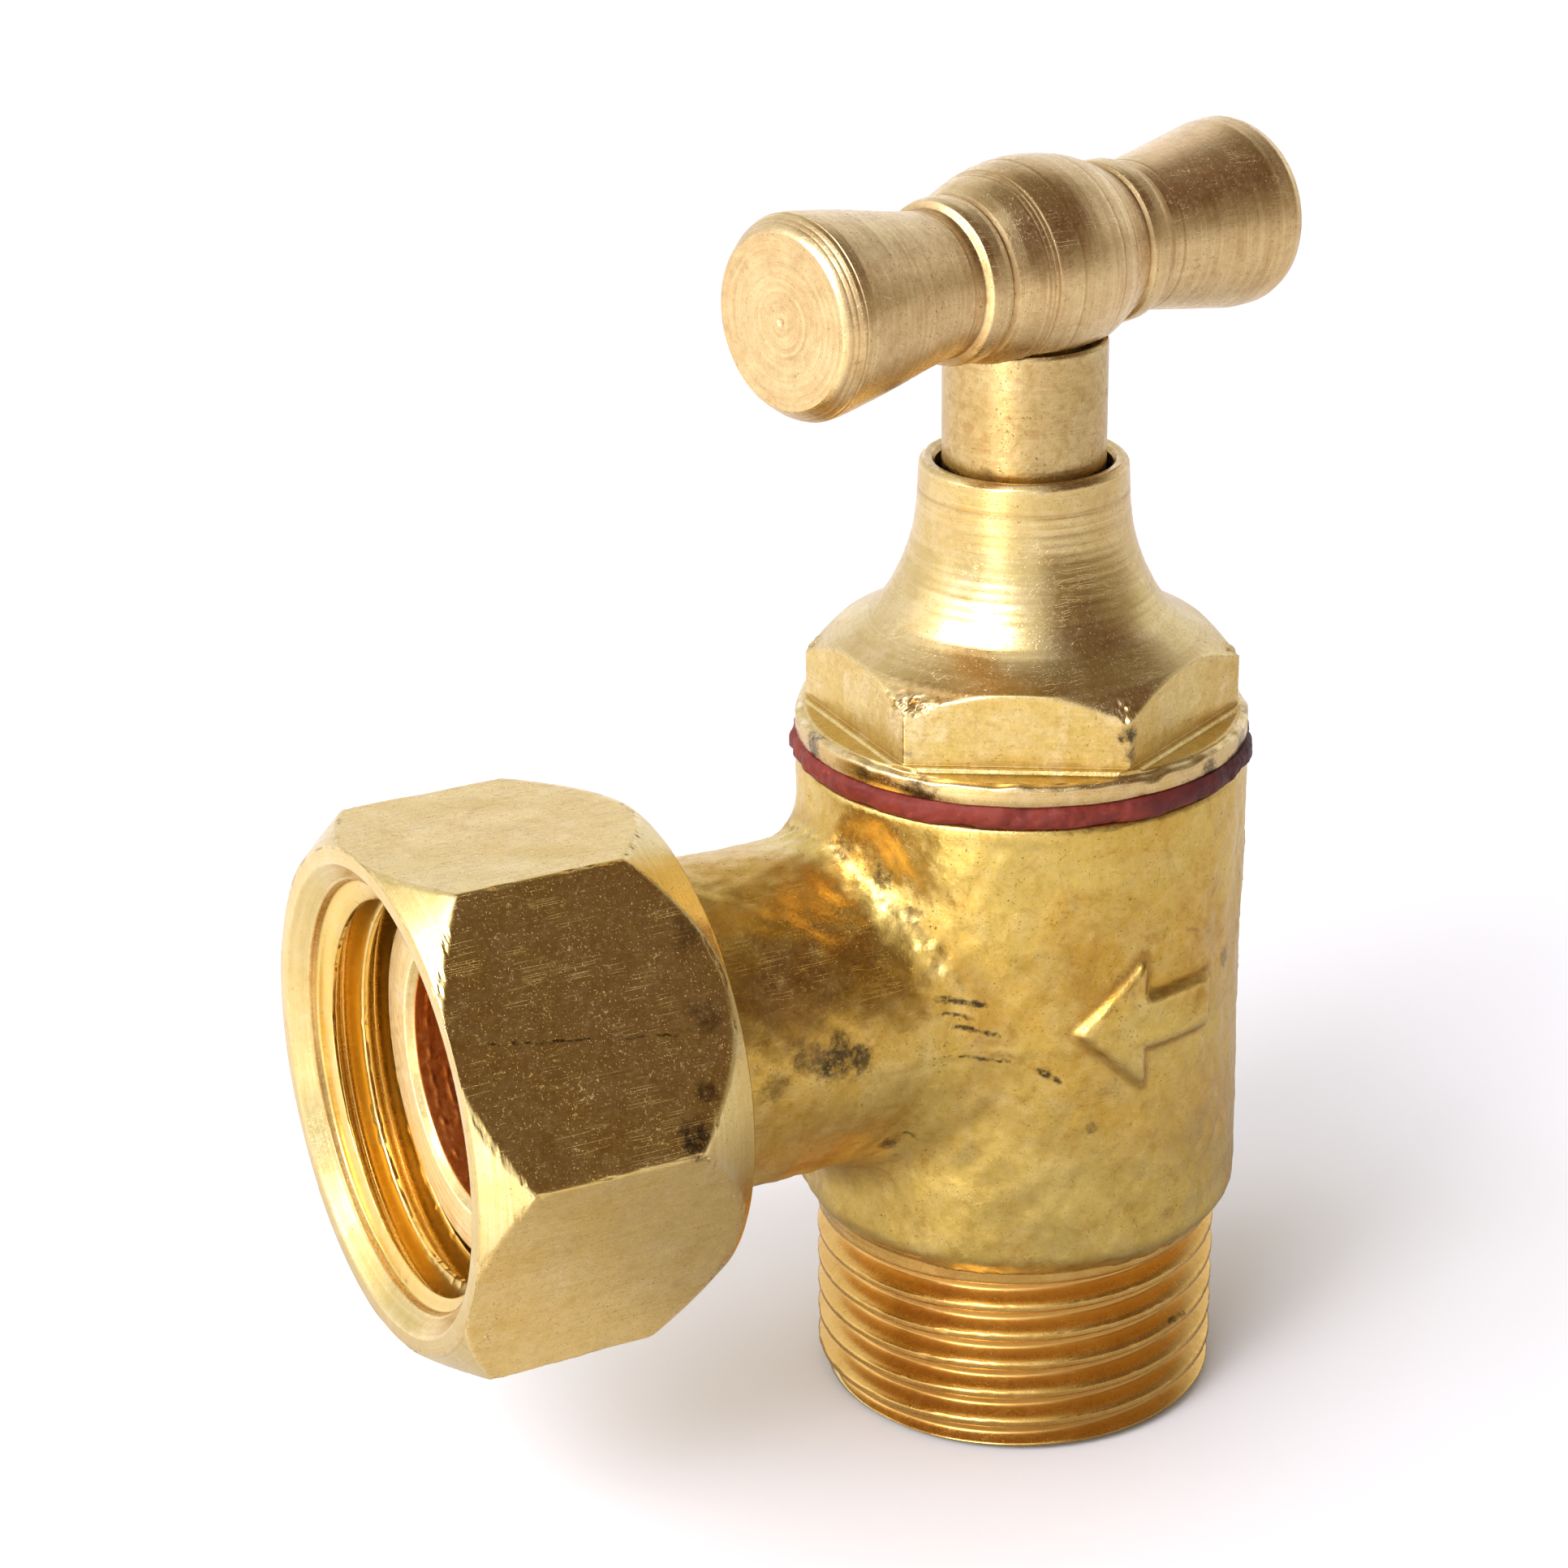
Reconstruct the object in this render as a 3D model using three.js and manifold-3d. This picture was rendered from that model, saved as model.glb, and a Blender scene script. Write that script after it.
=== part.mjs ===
// Angle stop valve, 3/8 inch, shown open, with a T-bar handle and a captive union nut.
// Millimetres, +Z up. The valve axis is vertical; the outlet points along -X.
// The origin is the centre of the bottom of the bounding box.
//
// In the names below _R is a radius, _Z a height, _X a distance from the valve axis
// toward the outlet, _AF a size across flats. Outlines are [radius, height] pairs.
import * as THREE from 'three';
import { mergeVertices } from 'three/addons/utils/BufferGeometryUtils.js';
import Module from 'manifold-3d';

const wasm = await Module();
wasm.setup();

// --------------------------------------------------------- shared dimensions
// G 3/8 pipe thread, used on the inlet and inside the union nut
const THREAD_MAJOR_R = 8.331;
const THREAD_MINOR_R = 7.475;
const THREAD_PITCH = 1.337;
const THREAD_STEPS = 16;          // straight facets in one turn

const OVERCUT = 1;                // how far a cutter runs past the face it opens
const MERGE_TOLERANCE = 1e-4;

// stack from the body up to the bonnet flange
const JOINT_GAP = 0.01;
const BODY_TOP_Z = 27.82;
const GASKET_Z0 = BODY_TOP_Z + JOINT_GAP;
const GASKET_Z1 = GASKET_Z0 + 0.9;
const FLANGE_Z0 = GASKET_Z1 + JOINT_GAP;
const FLANGE_Z1 = FLANGE_Z0 + 0.92;

const OUTLET_Z = 18.705;
const SEAT_Z = 15.0;              // top of the raised seat ring
const JUMPER_STEM_TOP_Z = 27.4;

// spindle sizes that the handle fits over
const SPINDLE_R = 3.22;
const SPINDLE_TOP_Z = 44.72;
const SPIGOT_R = 2.2;
const SPIGOT_TOP_Z = 47.4;

// ------------------------------------------------------------------- helpers
// Manifold solid from a three.js geometry, with its faces turned outward
function toSolid(geometry) {
  geometry.deleteAttribute('normal');
  geometry.deleteAttribute('uv');
  const merged = mergeVertices(geometry, MERGE_TOLERANCE);
  const { position } = merged.attributes;
  const triangles = [];
  let volume = 0;
  for (let i = 0; i < merged.index.count; i += 3) {
    const corners = [0, 1, 2].map((k) => merged.index.getX(i + k));
    if (new Set(corners).size < 3) continue;
    const [a, b, c] = corners.map((v) => new THREE.Vector3().fromBufferAttribute(position, v));
    volume += a.dot(b.cross(c));
    triangles.push(corners);
  }
  if (volume < 0) triangles.forEach((corners) => corners.reverse());
  return new wasm.Manifold(new wasm.Mesh({
    numProp: 3,
    vertProperties: new Float32Array(position.array),
    triVerts: new Uint32Array(triangles.flat()),
  }));
}

// flat-shaded geometry from a Manifold solid
function toGeometry(solid) {
  const { vertProperties, triVerts } = solid.getMesh();
  const indexed = new THREE.BufferGeometry();
  indexed.setAttribute('position', new THREE.BufferAttribute(vertProperties, 3));
  indexed.setIndex(new THREE.BufferAttribute(triVerts, 1));
  const flat = indexed.toNonIndexed();
  flat.computeVertexNormals();
  return flat;
}

// surface of revolution about +Z
function revolve(outline, segments) {
  const points = outline.map(([radius, z]) => new THREE.Vector2(radius, z));
  return toSolid(new THREE.LatheGeometry(points, segments).rotateX(Math.PI / 2));
}

// turned part: both ends of the outline are closed straight across to the axis
function turned(outline, segments = 36) {
  return revolve([[0, outline[0][1]], ...outline, [0, outline.at(-1)[1]]], segments);
}

// ring: the outline returns to its first point
function ring(outline, segments = 36) {
  return revolve([...outline, outline[0]], segments);
}

function rod(radius, z0, z1, segments) {
  return turned([[radius, z0], [radius, z1]], segments);
}

// hexagonal prism along +Z, one face normal at faceAngle degrees from +X
function hexPrism(acrossFlats, z0, z1, faceAngle) {
  const cornerR = acrossFlats / Math.sqrt(3);
  return toSolid(new THREE.CylinderGeometry(cornerR, cornerR, z1 - z0, 6)
    .rotateX(Math.PI / 2)
    .rotateZ(THREE.MathUtils.degToRad(faceAngle))
    .translate(0, 0, (z0 + z1) / 2));
}

// Helix about +Z whose section stays in the plane that holds the axis.
// These are the two methods that ExtrudeGeometry calls for its path.
class Helix extends THREE.Curve {
  constructor(radius, turns, z0) {
    super();
    Object.assign(this, { radius, turns, z0 });
  }

  outward(t) {
    const angle = t * this.turns * 2 * Math.PI;
    return new THREE.Vector3(Math.cos(angle), Math.sin(angle), 0);
  }

  getPointAt(t) {
    return this.outward(t).multiplyScalar(this.radius)
      .setZ(this.z0 + THREAD_PITCH * this.turns * t);
  }

  computeFrenetFrames(steps) {
    const normals = [];
    const binormals = [];
    for (let i = 0; i <= steps; i++) {
      normals.push(this.outward(i / steps));
      binormals.push(new THREE.Vector3(0, 0, 1));
    }
    return { normals, binormals };
  }
}

// one thread ridge of trapezoid section, wound from z0 to z1
function threadRidge({ innerR, innerWidth, outerR, outerWidth, z0, z1 }) {
  const depth = outerR - innerR;
  const section = new THREE.Shape([
    new THREE.Vector2(0, -innerWidth / 2), new THREE.Vector2(depth, -outerWidth / 2),
    new THREE.Vector2(depth, outerWidth / 2), new THREE.Vector2(0, innerWidth / 2),
  ]);
  const turns = (z1 - z0) / THREAD_PITCH;
  return toSolid(new THREE.ExtrudeGeometry(section, {
    steps: Math.round(turns * THREAD_STEPS),
    bevelEnabled: false,
    extrudePath: new Helix(innerR, turns, z0),
  }));
}

// +Z of the solid becomes -X, and its +X becomes +Z
function alongMinusX(solid) {
  return solid.rotate([0, -90, 0]);
}

// ---------------------------------------------------------------- valve body
const BODY_R = 9.034;
const THREAD_ROOT_R = THREAD_MINOR_R - 0.2;   // ridge is sunk this far into the core
const THREAD_TRIM_R = THREAD_MAJOR_R + 0.1;
const INLET_THREAD_TOP_Z = 8.2;
const INLET_END_R = 8.04;
const INLET_BORE_R = 5.1;
const INLET_CHAMFER = 0.4;
const SEAT_BORE_R = 3.6;
const SEAT_CONE_Z = [11.4, 12.3]; // inlet bore narrows to the seat bore
const SEAT_RING_R = 4.8;          // at the chamber floor
const SEAT_TAPER = 0.5;
const CHAMBER_R = 7.2;
const CHAMBER_FLOOR_Z = 13.2;
const BONNET_SOCKET_R = 7.8;      // mouth of the body
const BONNET_SOCKET_Z = 23.6;
const SOCKET_STEP = 0.4;

const BODY_FOOT = [               // flare from the thread to the barrel
  [THREAD_ROOT_R, 7.9], [7.9, 8.25], [8.46, 8.34], [8.87, 8.9], [BODY_R, 9.2],
];

// outlet neck and its end collar, which keeps the nut on
const NECK_R = 6.645;
const OUTLET_BORE_R = 5.12;
const OUTLET_FLARE = 0.35;
const TAIL_X = 24.89;             // end face
const TAIL_CHAMFER = 0.3;
const COLLAR_R = 7.24;
const COLLAR_X = TAIL_X - 1.5;
const NECK_ROOT = [               // [radius, distance from the valve axis]
  [8.3, 3], [8.3, 7.9], [7.55, 8.9], [7.0, 9.9], [NECK_R, 11.2],
];

const ARROW_Z = 19.2;
const ARROW_TURN = 4.5;           // degrees about the valve axis, from -Y toward +X
const ARROW_RAISE = 0.4;
const ARROW = [                   // [x, height above ARROW_Z], tip first
  [-3.3, 0], [-0.4, 2.7], [-0.4, 1.1], [3.1, 1.1], [3.1, -1.1], [-0.4, -1.1], [-0.4, -2.7],
];

// a ridge wound on the plain core, trimmed by the end chamfer
function makeInletThread() {
  const ridge = threadRidge({
    innerR: THREAD_ROOT_R,
    innerWidth: 1.2,
    outerR: THREAD_MAJOR_R,
    outerWidth: 0.26,
    z0: -0.75,
    z1: INLET_THREAD_TOP_Z + 0.15,
  });
  const envelope = turned([
    [INLET_END_R, 0], [THREAD_TRIM_R, 0.5], [THREAD_TRIM_R, 8.6]], THREAD_STEPS);
  return rod(THREAD_MINOR_R, 0, 8.5, THREAD_STEPS).add(ridge.intersect(envelope));
}

// raised flow arrow on the -Y side of the body, pointing at the outlet
function makeArrow() {
  const shape = new THREE.Shape(ARROW.map(([x, z]) => new THREE.Vector2(x, z)));
  const block = new THREE.ExtrudeGeometry(shape, { depth: 4, bevelEnabled: false })
    .rotateX(Math.PI / 2)         // extrusion runs toward -Y
    .translate(0, -6.5, ARROW_Z);
  return toSolid(block).rotate([0, 0, ARROW_TURN])
    .intersect(rod(BODY_R + ARROW_RAISE, 5, 25, 72));
}

function makeBody() {
  const barrel = turned([
    ...BODY_FOOT, [BODY_R, BODY_TOP_Z - 0.25], [BODY_R - 0.2, BODY_TOP_Z]]);
  const neck = alongMinusX(turned([
    ...NECK_ROOT, [NECK_R, COLLAR_X], [COLLAR_R, COLLAR_X + 0.2],
    [COLLAR_R, TAIL_X - TAIL_CHAMFER], [COLLAR_R - TAIL_CHAMFER, TAIL_X],
  ])).translate([0, 0, OUTLET_Z]);

  const waterway = turned([
    [INLET_BORE_R + INLET_CHAMFER, -OVERCUT], [INLET_BORE_R + INLET_CHAMFER, 0],
    [INLET_BORE_R, INLET_CHAMFER], [INLET_BORE_R, SEAT_CONE_Z[0]],
    [SEAT_BORE_R, SEAT_CONE_Z[1]], [SEAT_BORE_R, SEAT_Z + 0.5]]);
  // the cut leaves the tapered seat ring standing on the chamber floor
  const chamber = turned([
    [SEAT_RING_R - SEAT_TAPER, SEAT_Z], [SEAT_RING_R, CHAMBER_FLOOR_Z],
    [CHAMBER_R, CHAMBER_FLOOR_Z], [CHAMBER_R, BONNET_SOCKET_Z],
    [BONNET_SOCKET_R, BONNET_SOCKET_Z + SOCKET_STEP], [BONNET_SOCKET_R, BODY_TOP_Z + OVERCUT]]);
  const outletBore = alongMinusX(turned([
    [OUTLET_BORE_R, 5], [OUTLET_BORE_R, TAIL_X - TAIL_CHAMFER],
    [OUTLET_BORE_R + OUTLET_FLARE, TAIL_X], [OUTLET_BORE_R + OUTLET_FLARE, TAIL_X + OVERCUT],
  ])).translate([0, 0, OUTLET_Z]);

  return barrel.add(neck).add(makeInletThread()).add(makeArrow())
    .subtract(waterway).subtract(chamber).subtract(outletBore);
}

// -------------------------------------------------------------------- bonnet
const FLANGE_R = 9.03;
const FLANGE_CHAMFER = 0.12;
const BONNET_AF = 14.87;
const BONNET_HEX_ANGLE = -2.3;    // degrees, face normal from +X
const BONNET_THREAD_R = 7.5;
const BONNET_THREAD_CHAMFER = 0.5;
const BONNET_BOTTOM_Z = 24.3;
const BONNET_BORE_R = 3.47;       // gland bore around the spindle
const BONNET_NUT_R = 4.6;         // wide bore around the spindle thread
const BONNET_NUT_CHAMFER = 0.4;
const BONNET_SHOULDER_Z = 32.4;
const RIM_Z = 39.96;
const HEAD_R = 8.9;               // trimmed by the hexagon
const BELL = [                    // outside of the bonnet above the hexagon
  [HEAD_R, 31.35], [8.587, 31.65], [7.434, 32.68], [6.337, 33.26], [5.74, 33.79],
  [5.27, 34.59], [4.83, 35.38], [4.32, 36.97], [4.12, 39.3], [3.9, RIM_Z],
];

function makeBonnet() {
  const head = turned([[HEAD_R, FLANGE_Z1 - 0.3], ...BELL])
    .intersect(hexPrism(BONNET_AF, FLANGE_Z1 - 0.5, RIM_Z + OVERCUT, BONNET_HEX_ANGLE));
  const base = turned([
    [BONNET_THREAD_R - BONNET_THREAD_CHAMFER, BONNET_BOTTOM_Z],
    [BONNET_THREAD_R, BONNET_BOTTOM_Z + BONNET_THREAD_CHAMFER],
    [BONNET_THREAD_R, FLANGE_Z0], [FLANGE_R, FLANGE_Z0],
    [FLANGE_R, FLANGE_Z1 - FLANGE_CHAMFER], [FLANGE_R - FLANGE_CHAMFER, FLANGE_Z1]]);
  const mouthR = BONNET_NUT_R + BONNET_NUT_CHAMFER;
  const bore = turned([
    [mouthR, BONNET_BOTTOM_Z - OVERCUT], [mouthR, BONNET_BOTTOM_Z],
    [BONNET_NUT_R, BONNET_BOTTOM_Z + BONNET_NUT_CHAMFER], [BONNET_NUT_R, BONNET_SHOULDER_Z],
    [BONNET_BORE_R, BONNET_SHOULDER_Z + 0.3], [BONNET_BORE_R, RIM_Z + OVERCUT]]);
  return base.add(head).subtract(bore);
}

// ---------------------------------------- gasket between body and bonnet
const GASKET_R = 9.287;
const GASKET_BORE_R = 7.75;
const GASKET_EDGE_R = GASKET_R - 0.08;
const GASKET_EDGE_HEIGHT = 0.2;

function makeGasket() {
  return ring([
    [GASKET_BORE_R, GASKET_Z0], [GASKET_EDGE_R, GASKET_Z0],
    [GASKET_R, GASKET_Z0 + GASKET_EDGE_HEIGHT], [GASKET_R, GASKET_Z1 - GASKET_EDGE_HEIGHT],
    [GASKET_EDGE_R, GASKET_Z1], [GASKET_BORE_R, GASKET_Z1]]);
}

// --------------------------------------------------------- spindle, O-rings
const SPINDLE_CHAMFER = 0.12;
const SPINDLE_THREAD_R = 4.35;
const SPINDLE_THREAD_Z0 = 22.66;
const SPINDLE_THREAD_Z1 = 32.3;
const THREAD_CHAMFER_LOW = 0.5;
const THREAD_CHAMFER_HIGH = 0.4;
const SPINDLE_SOCKET_R = 2.3;     // blind socket for the jumper stem, open at the bottom
const SPINDLE_SOCKET_Z = JUMPER_STEM_TOP_Z + 0.6;
const SPIGOT_CHAMFER = 0.3;
const ORING_GROOVE_R = 2.36;
const ORING_GROOVE_W = 1.3;
const ORING_CORD_R = 0.5;
const ORING_CENTRE_R = ORING_GROOVE_R + 0.04 + ORING_CORD_R;
const ORING_CORD_SIDES = 8;
const ORING_Z = [36.9, 38.9];

function makeSpindle() {
  const grooves = ORING_Z.flatMap((z) => {
    const z0 = z - ORING_GROOVE_W / 2;
    const z1 = z + ORING_GROOVE_W / 2;
    return [[SPINDLE_R, z0], [ORING_GROOVE_R, z0], [ORING_GROOVE_R, z1], [SPINDLE_R, z1]];
  });
  return turned([
    [SPINDLE_SOCKET_R, SPINDLE_SOCKET_Z], [SPINDLE_SOCKET_R, SPINDLE_THREAD_Z0],
    [SPINDLE_THREAD_R - THREAD_CHAMFER_LOW, SPINDLE_THREAD_Z0],
    [SPINDLE_THREAD_R, SPINDLE_THREAD_Z0 + THREAD_CHAMFER_LOW],
    [SPINDLE_THREAD_R, SPINDLE_THREAD_Z1 - THREAD_CHAMFER_HIGH],
    [SPINDLE_THREAD_R - THREAD_CHAMFER_HIGH, SPINDLE_THREAD_Z1],
    [SPINDLE_R, SPINDLE_THREAD_Z1],
    ...grooves,
    [SPINDLE_R, SPINDLE_TOP_Z - SPINDLE_CHAMFER], [SPINDLE_R - SPINDLE_CHAMFER, SPINDLE_TOP_Z],
    [SPIGOT_R, SPINDLE_TOP_Z], [SPIGOT_R, SPIGOT_TOP_Z - SPIGOT_CHAMFER],
    [SPIGOT_R - SPIGOT_CHAMFER, SPIGOT_TOP_Z]]);
}

function makeOring(z) {
  const cord = Array.from({ length: ORING_CORD_SIDES }, (_, i) => {
    const angle = (i / ORING_CORD_SIDES) * 2 * Math.PI;
    return [ORING_CENTRE_R + ORING_CORD_R * Math.cos(angle), z + ORING_CORD_R * Math.sin(angle)];
  });
  return ring(cord, 28);
}

// ----------------------------------------------------------- closing members
const LIFT = 4.0;                 // travel from open to shut
const WASHER_Z0 = SEAT_Z + LIFT + 0.05;
const WASHER_Z1 = WASHER_Z0 + 1.95;
const WASHER_R = 5.1;
const WASHER_BORE_R = 1.55;
const JUMPER_R = 5.5;
const JUMPER_DISC_Z0 = WASHER_Z1 + 0.02;
const JUMPER_DISC_Z1 = 22.6;
const JUMPER_DISC_CHAMFER = 0.3;
const JUMPER_STEM_R = 2.05;
const JUMPER_STEM_CHAMFER = 0.4;
const JUMPER_STUD_R = 1.3;
const WASHER_NUT_AF = 4.0;
const WASHER_NUT_T = 1.5;         // thickness
const WASHER_NUT_Z1 = WASHER_Z0 - 0.04;

function makeJumper() {
  const discEdgeR = JUMPER_R - JUMPER_DISC_CHAMFER;
  return turned([
    [JUMPER_STUD_R, WASHER_Z0 - WASHER_NUT_T - 0.5], [JUMPER_STUD_R, JUMPER_DISC_Z0],
    [discEdgeR, JUMPER_DISC_Z0], [JUMPER_R, JUMPER_DISC_Z0 + JUMPER_DISC_CHAMFER],
    [JUMPER_R, JUMPER_DISC_Z1 - JUMPER_DISC_CHAMFER], [discEdgeR, JUMPER_DISC_Z1],
    [JUMPER_STEM_R, JUMPER_DISC_Z1], [JUMPER_STEM_R, JUMPER_STEM_TOP_Z - JUMPER_STEM_CHAMFER],
    [JUMPER_STEM_R - JUMPER_STEM_CHAMFER, JUMPER_STEM_TOP_Z]]);
}

function makeSeatWasher() {
  return ring([
    [WASHER_BORE_R, WASHER_Z0], [WASHER_R, WASHER_Z0],
    [WASHER_R, WASHER_Z1], [WASHER_BORE_R, WASHER_Z1]]);
}

function makeWasherNut() {
  return hexPrism(WASHER_NUT_AF, WASHER_NUT_Z1 - WASHER_NUT_T, WASHER_NUT_Z1, 0)
    .subtract(rod(WASHER_BORE_R - 0.05, WASHER_Z0 - 4, WASHER_Z0 + 2, 32));
}

// -------------------------------------------------------------- T-bar handle
const BAR_Z = 47.65;
const BAR_ANGLE = 14.28;          // degrees, from -X toward -Y
const BAR_FIT = 0.16;             // radial gap around the spindle and spigot
// Bar outlines are [distance from the valve axis, radius].
const BAR_MIDDLE = [              // the same on both sides of the axis
  [0, 4.09], [1.0, 4.02], [2.0, 3.80], [2.9, 3.50], [3.55, 3.20],
  [3.75, 3.08], [3.95, 3.18], [4.7, 3.18], [4.95, 2.84], [6.2, 2.98],
  [8.6, 3.42],
];
const BAR_OUTLET_END = [[10.6, 3.74], [11.4, 3.86], [11.8, 3.86], [12.5, 3.45], [12.6, 3.32]];
const BAR_FAR_END = [[10.5, 3.77], [11.35, 3.79], [11.72, 3.65], [11.86, 3.45]];

function makeHandle() {
  const outletHalf = [...BAR_MIDDLE, ...BAR_OUTLET_END].map(([along, radius]) => [radius, along]);
  const farHalf = [...BAR_MIDDLE.slice(1), ...BAR_FAR_END]
    .map(([along, radius]) => [radius, -along]).reverse();
  return alongMinusX(turned([...farHalf, ...outletHalf], 30))
    .rotate([0, 0, BAR_ANGLE]).translate([0, 0, BAR_Z])
    .subtract(rod(SPIGOT_R + BAR_FIT, BAR_Z - 8, SPIGOT_TOP_Z + 0.15))
    .subtract(rod(SPINDLE_R + BAR_FIT, BAR_Z - 8, SPINDLE_TOP_Z + 0.03));
}

// ----------------------------------------------------------------- union nut
const NUT_AF = 19.56;
const NUT_FRONT_X = 28.35;
const NUT_BACK_X = 17.06;
const NUT_FACE_ANGLE = -3.76;     // degrees, face normal from +Z toward +Y
const NUT_CORNER_R = 11.35;
const NUT_FACE_R = 9.87;
const NUT_BACK_R = 9.64;
const NUT_MOUTH_R = 9.15;         // wide end of the lead-in cone
const NUT_BORE_R = THREAD_MAJOR_R + 0.12;
const NUT_REAR_BORE_R = 6.86;
const NUT_REAR_CHAMFER = 0.3;
const NUT_SHOULDER_X = 20.3;
const NUT_THREAD_X = 21.6;        // inner end of the thread
const NUT_TRIM_R = THREAD_MAJOR_R + 0.3;

// built along +Z with the front face at the top, then laid over to -X
function makeUnionNut() {
  const outside = turned([
    [NUT_BACK_R, NUT_BACK_X], [NUT_CORNER_R, NUT_BACK_X + 3.0],
    [NUT_CORNER_R, NUT_FRONT_X - 1.78], [NUT_FACE_R, NUT_FRONT_X]], 48)
    .intersect(hexPrism(NUT_AF, NUT_BACK_X - OVERCUT, NUT_FRONT_X + OVERCUT, NUT_FACE_ANGLE));
  const rearMouthR = NUT_REAR_BORE_R + NUT_REAR_CHAMFER;
  const bore = turned([
    [rearMouthR, NUT_BACK_X - OVERCUT], [rearMouthR, NUT_BACK_X],
    [NUT_REAR_BORE_R, NUT_BACK_X + NUT_REAR_CHAMFER], [NUT_REAR_BORE_R, NUT_SHOULDER_X],
    [NUT_BORE_R, NUT_SHOULDER_X], [NUT_BORE_R, NUT_FRONT_X - 0.66],
    [NUT_MOUTH_R, NUT_FRONT_X], [NUT_MOUTH_R, NUT_FRONT_X + OVERCUT]], THREAD_STEPS * 2);
  const ridge = threadRidge({
    innerR: THREAD_MINOR_R,
    innerWidth: 0.28,
    outerR: THREAD_MAJOR_R + 0.35,
    outerWidth: 1.24,
    z0: NUT_THREAD_X,
    z1: NUT_FRONT_X - 1.22,
  }).intersect(turned([
    [NUT_TRIM_R, NUT_THREAD_X - 0.3], [NUT_TRIM_R, NUT_FRONT_X - 1.07],
    [THREAD_MINOR_R, NUT_FRONT_X - 0.72]]));
  return alongMinusX(outside.subtract(bore).add(ridge)).translate([0, 0, OUTLET_Z]);
}

// ----------------------------------------------------------------- materials
const FINISH = {
  castBrass: { color: 0xb98a45, roughness: 0.38, metalness: 1 },
  bonnetBrass: { color: 0xc6a468, roughness: 0.28, metalness: 1 },
  jumperBrass: { color: 0xc6a468, roughness: 0.35, metalness: 1 },
  spindleBrass: { color: 0xc6a468, roughness: 0.26, metalness: 1 },
  unionNutBrass: { color: 0xc59a4e, roughness: 0.3, metalness: 1 },
  washerNutBrass: { color: 0xc8a35c, roughness: 0.35, metalness: 1 },
  handleBrass: { color: 0xc2a06a, roughness: 0.3, metalness: 1 },
  redGasket: { color: 0xb4443a, roughness: 0.75, metalness: 0 },
  blackWasher: { color: 0x1c1c1c, roughness: 0.85, metalness: 0 },
  blackOring: { color: 0x161616, roughness: 0.6, metalness: 0 },
};

function piece(name, solid, finish) {
  const mesh = new THREE.Mesh(toGeometry(solid), new THREE.MeshStandardMaterial(finish));
  mesh.name = name;
  return mesh;
}

function group(...children) {
  return new THREE.Group().add(...children);
}

// ------------------------------------------------------------------ assembly
const HANDLE_REACH = 12.345;      // from the valve axis to the +X end of the handle

const stationary = group(
  piece('valve_body', makeBody(), FINISH.castBrass),
  piece('bonnet', makeBonnet(), FINISH.bonnetBrass),
  piece('bonnet_gasket', makeGasket(), FINISH.redGasket),
);
const outletSide = group(piece('union_nut', makeUnionNut(), FINISH.unionNutBrass));
const turning = group(
  piece('spindle', makeSpindle(), FINISH.spindleBrass),
  piece('spindle_oring_lower', makeOring(ORING_Z[0]), FINISH.blackOring),
  piece('spindle_oring_upper', makeOring(ORING_Z[1]), FINISH.blackOring),
  piece('t_handle', makeHandle(), FINISH.handleBrass),
);
const rising = group(
  piece('jumper', makeJumper(), FINISH.jumperBrass),
  piece('seat_washer', makeSeatWasher(), FINISH.blackWasher),
  piece('seat_washer_nut', makeWasherNut(), FINISH.washerNutBrass),
  turning,
);

const valve = group(stationary, outletSide, rising);
valve.position.x = (NUT_FRONT_X - HANDLE_REACH) / 2;

export default valve;
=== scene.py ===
"""Brass stop valve with a bar handle and a union nut on its outlet.

The barrel stands on the vertical valve axis (x = AXIS_X, y = 0). The inlet thread faces down,
the outlet neck and its union nut point to -X, and the bar handle lies across the top.
Lengths are millimetres about the valve axis; mesh_object() turns them into frame metres.
"""
import math
from itertools import product

import bpy
import numpy as np
from mathutils import Matrix, Vector


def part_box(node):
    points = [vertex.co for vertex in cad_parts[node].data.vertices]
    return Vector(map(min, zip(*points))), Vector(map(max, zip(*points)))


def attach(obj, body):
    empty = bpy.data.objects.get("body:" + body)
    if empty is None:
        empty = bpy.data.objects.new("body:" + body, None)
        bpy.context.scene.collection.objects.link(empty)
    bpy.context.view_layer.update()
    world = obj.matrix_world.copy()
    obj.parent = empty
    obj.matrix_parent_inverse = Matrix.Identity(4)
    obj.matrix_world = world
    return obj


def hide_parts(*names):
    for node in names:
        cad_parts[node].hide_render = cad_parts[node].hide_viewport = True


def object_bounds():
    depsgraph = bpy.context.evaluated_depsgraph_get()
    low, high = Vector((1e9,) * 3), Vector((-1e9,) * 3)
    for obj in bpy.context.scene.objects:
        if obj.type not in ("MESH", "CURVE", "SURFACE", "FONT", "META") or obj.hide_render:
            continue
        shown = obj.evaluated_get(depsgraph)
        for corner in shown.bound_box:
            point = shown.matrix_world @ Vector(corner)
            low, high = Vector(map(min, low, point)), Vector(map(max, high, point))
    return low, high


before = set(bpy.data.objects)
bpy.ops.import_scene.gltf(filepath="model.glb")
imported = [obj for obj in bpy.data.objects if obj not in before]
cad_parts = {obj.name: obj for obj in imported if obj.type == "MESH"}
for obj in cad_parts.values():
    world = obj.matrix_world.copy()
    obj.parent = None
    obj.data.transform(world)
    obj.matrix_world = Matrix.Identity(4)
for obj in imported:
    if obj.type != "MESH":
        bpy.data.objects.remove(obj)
CAD_LOW, CAD_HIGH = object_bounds()
TAU = 2 * math.pi

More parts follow.
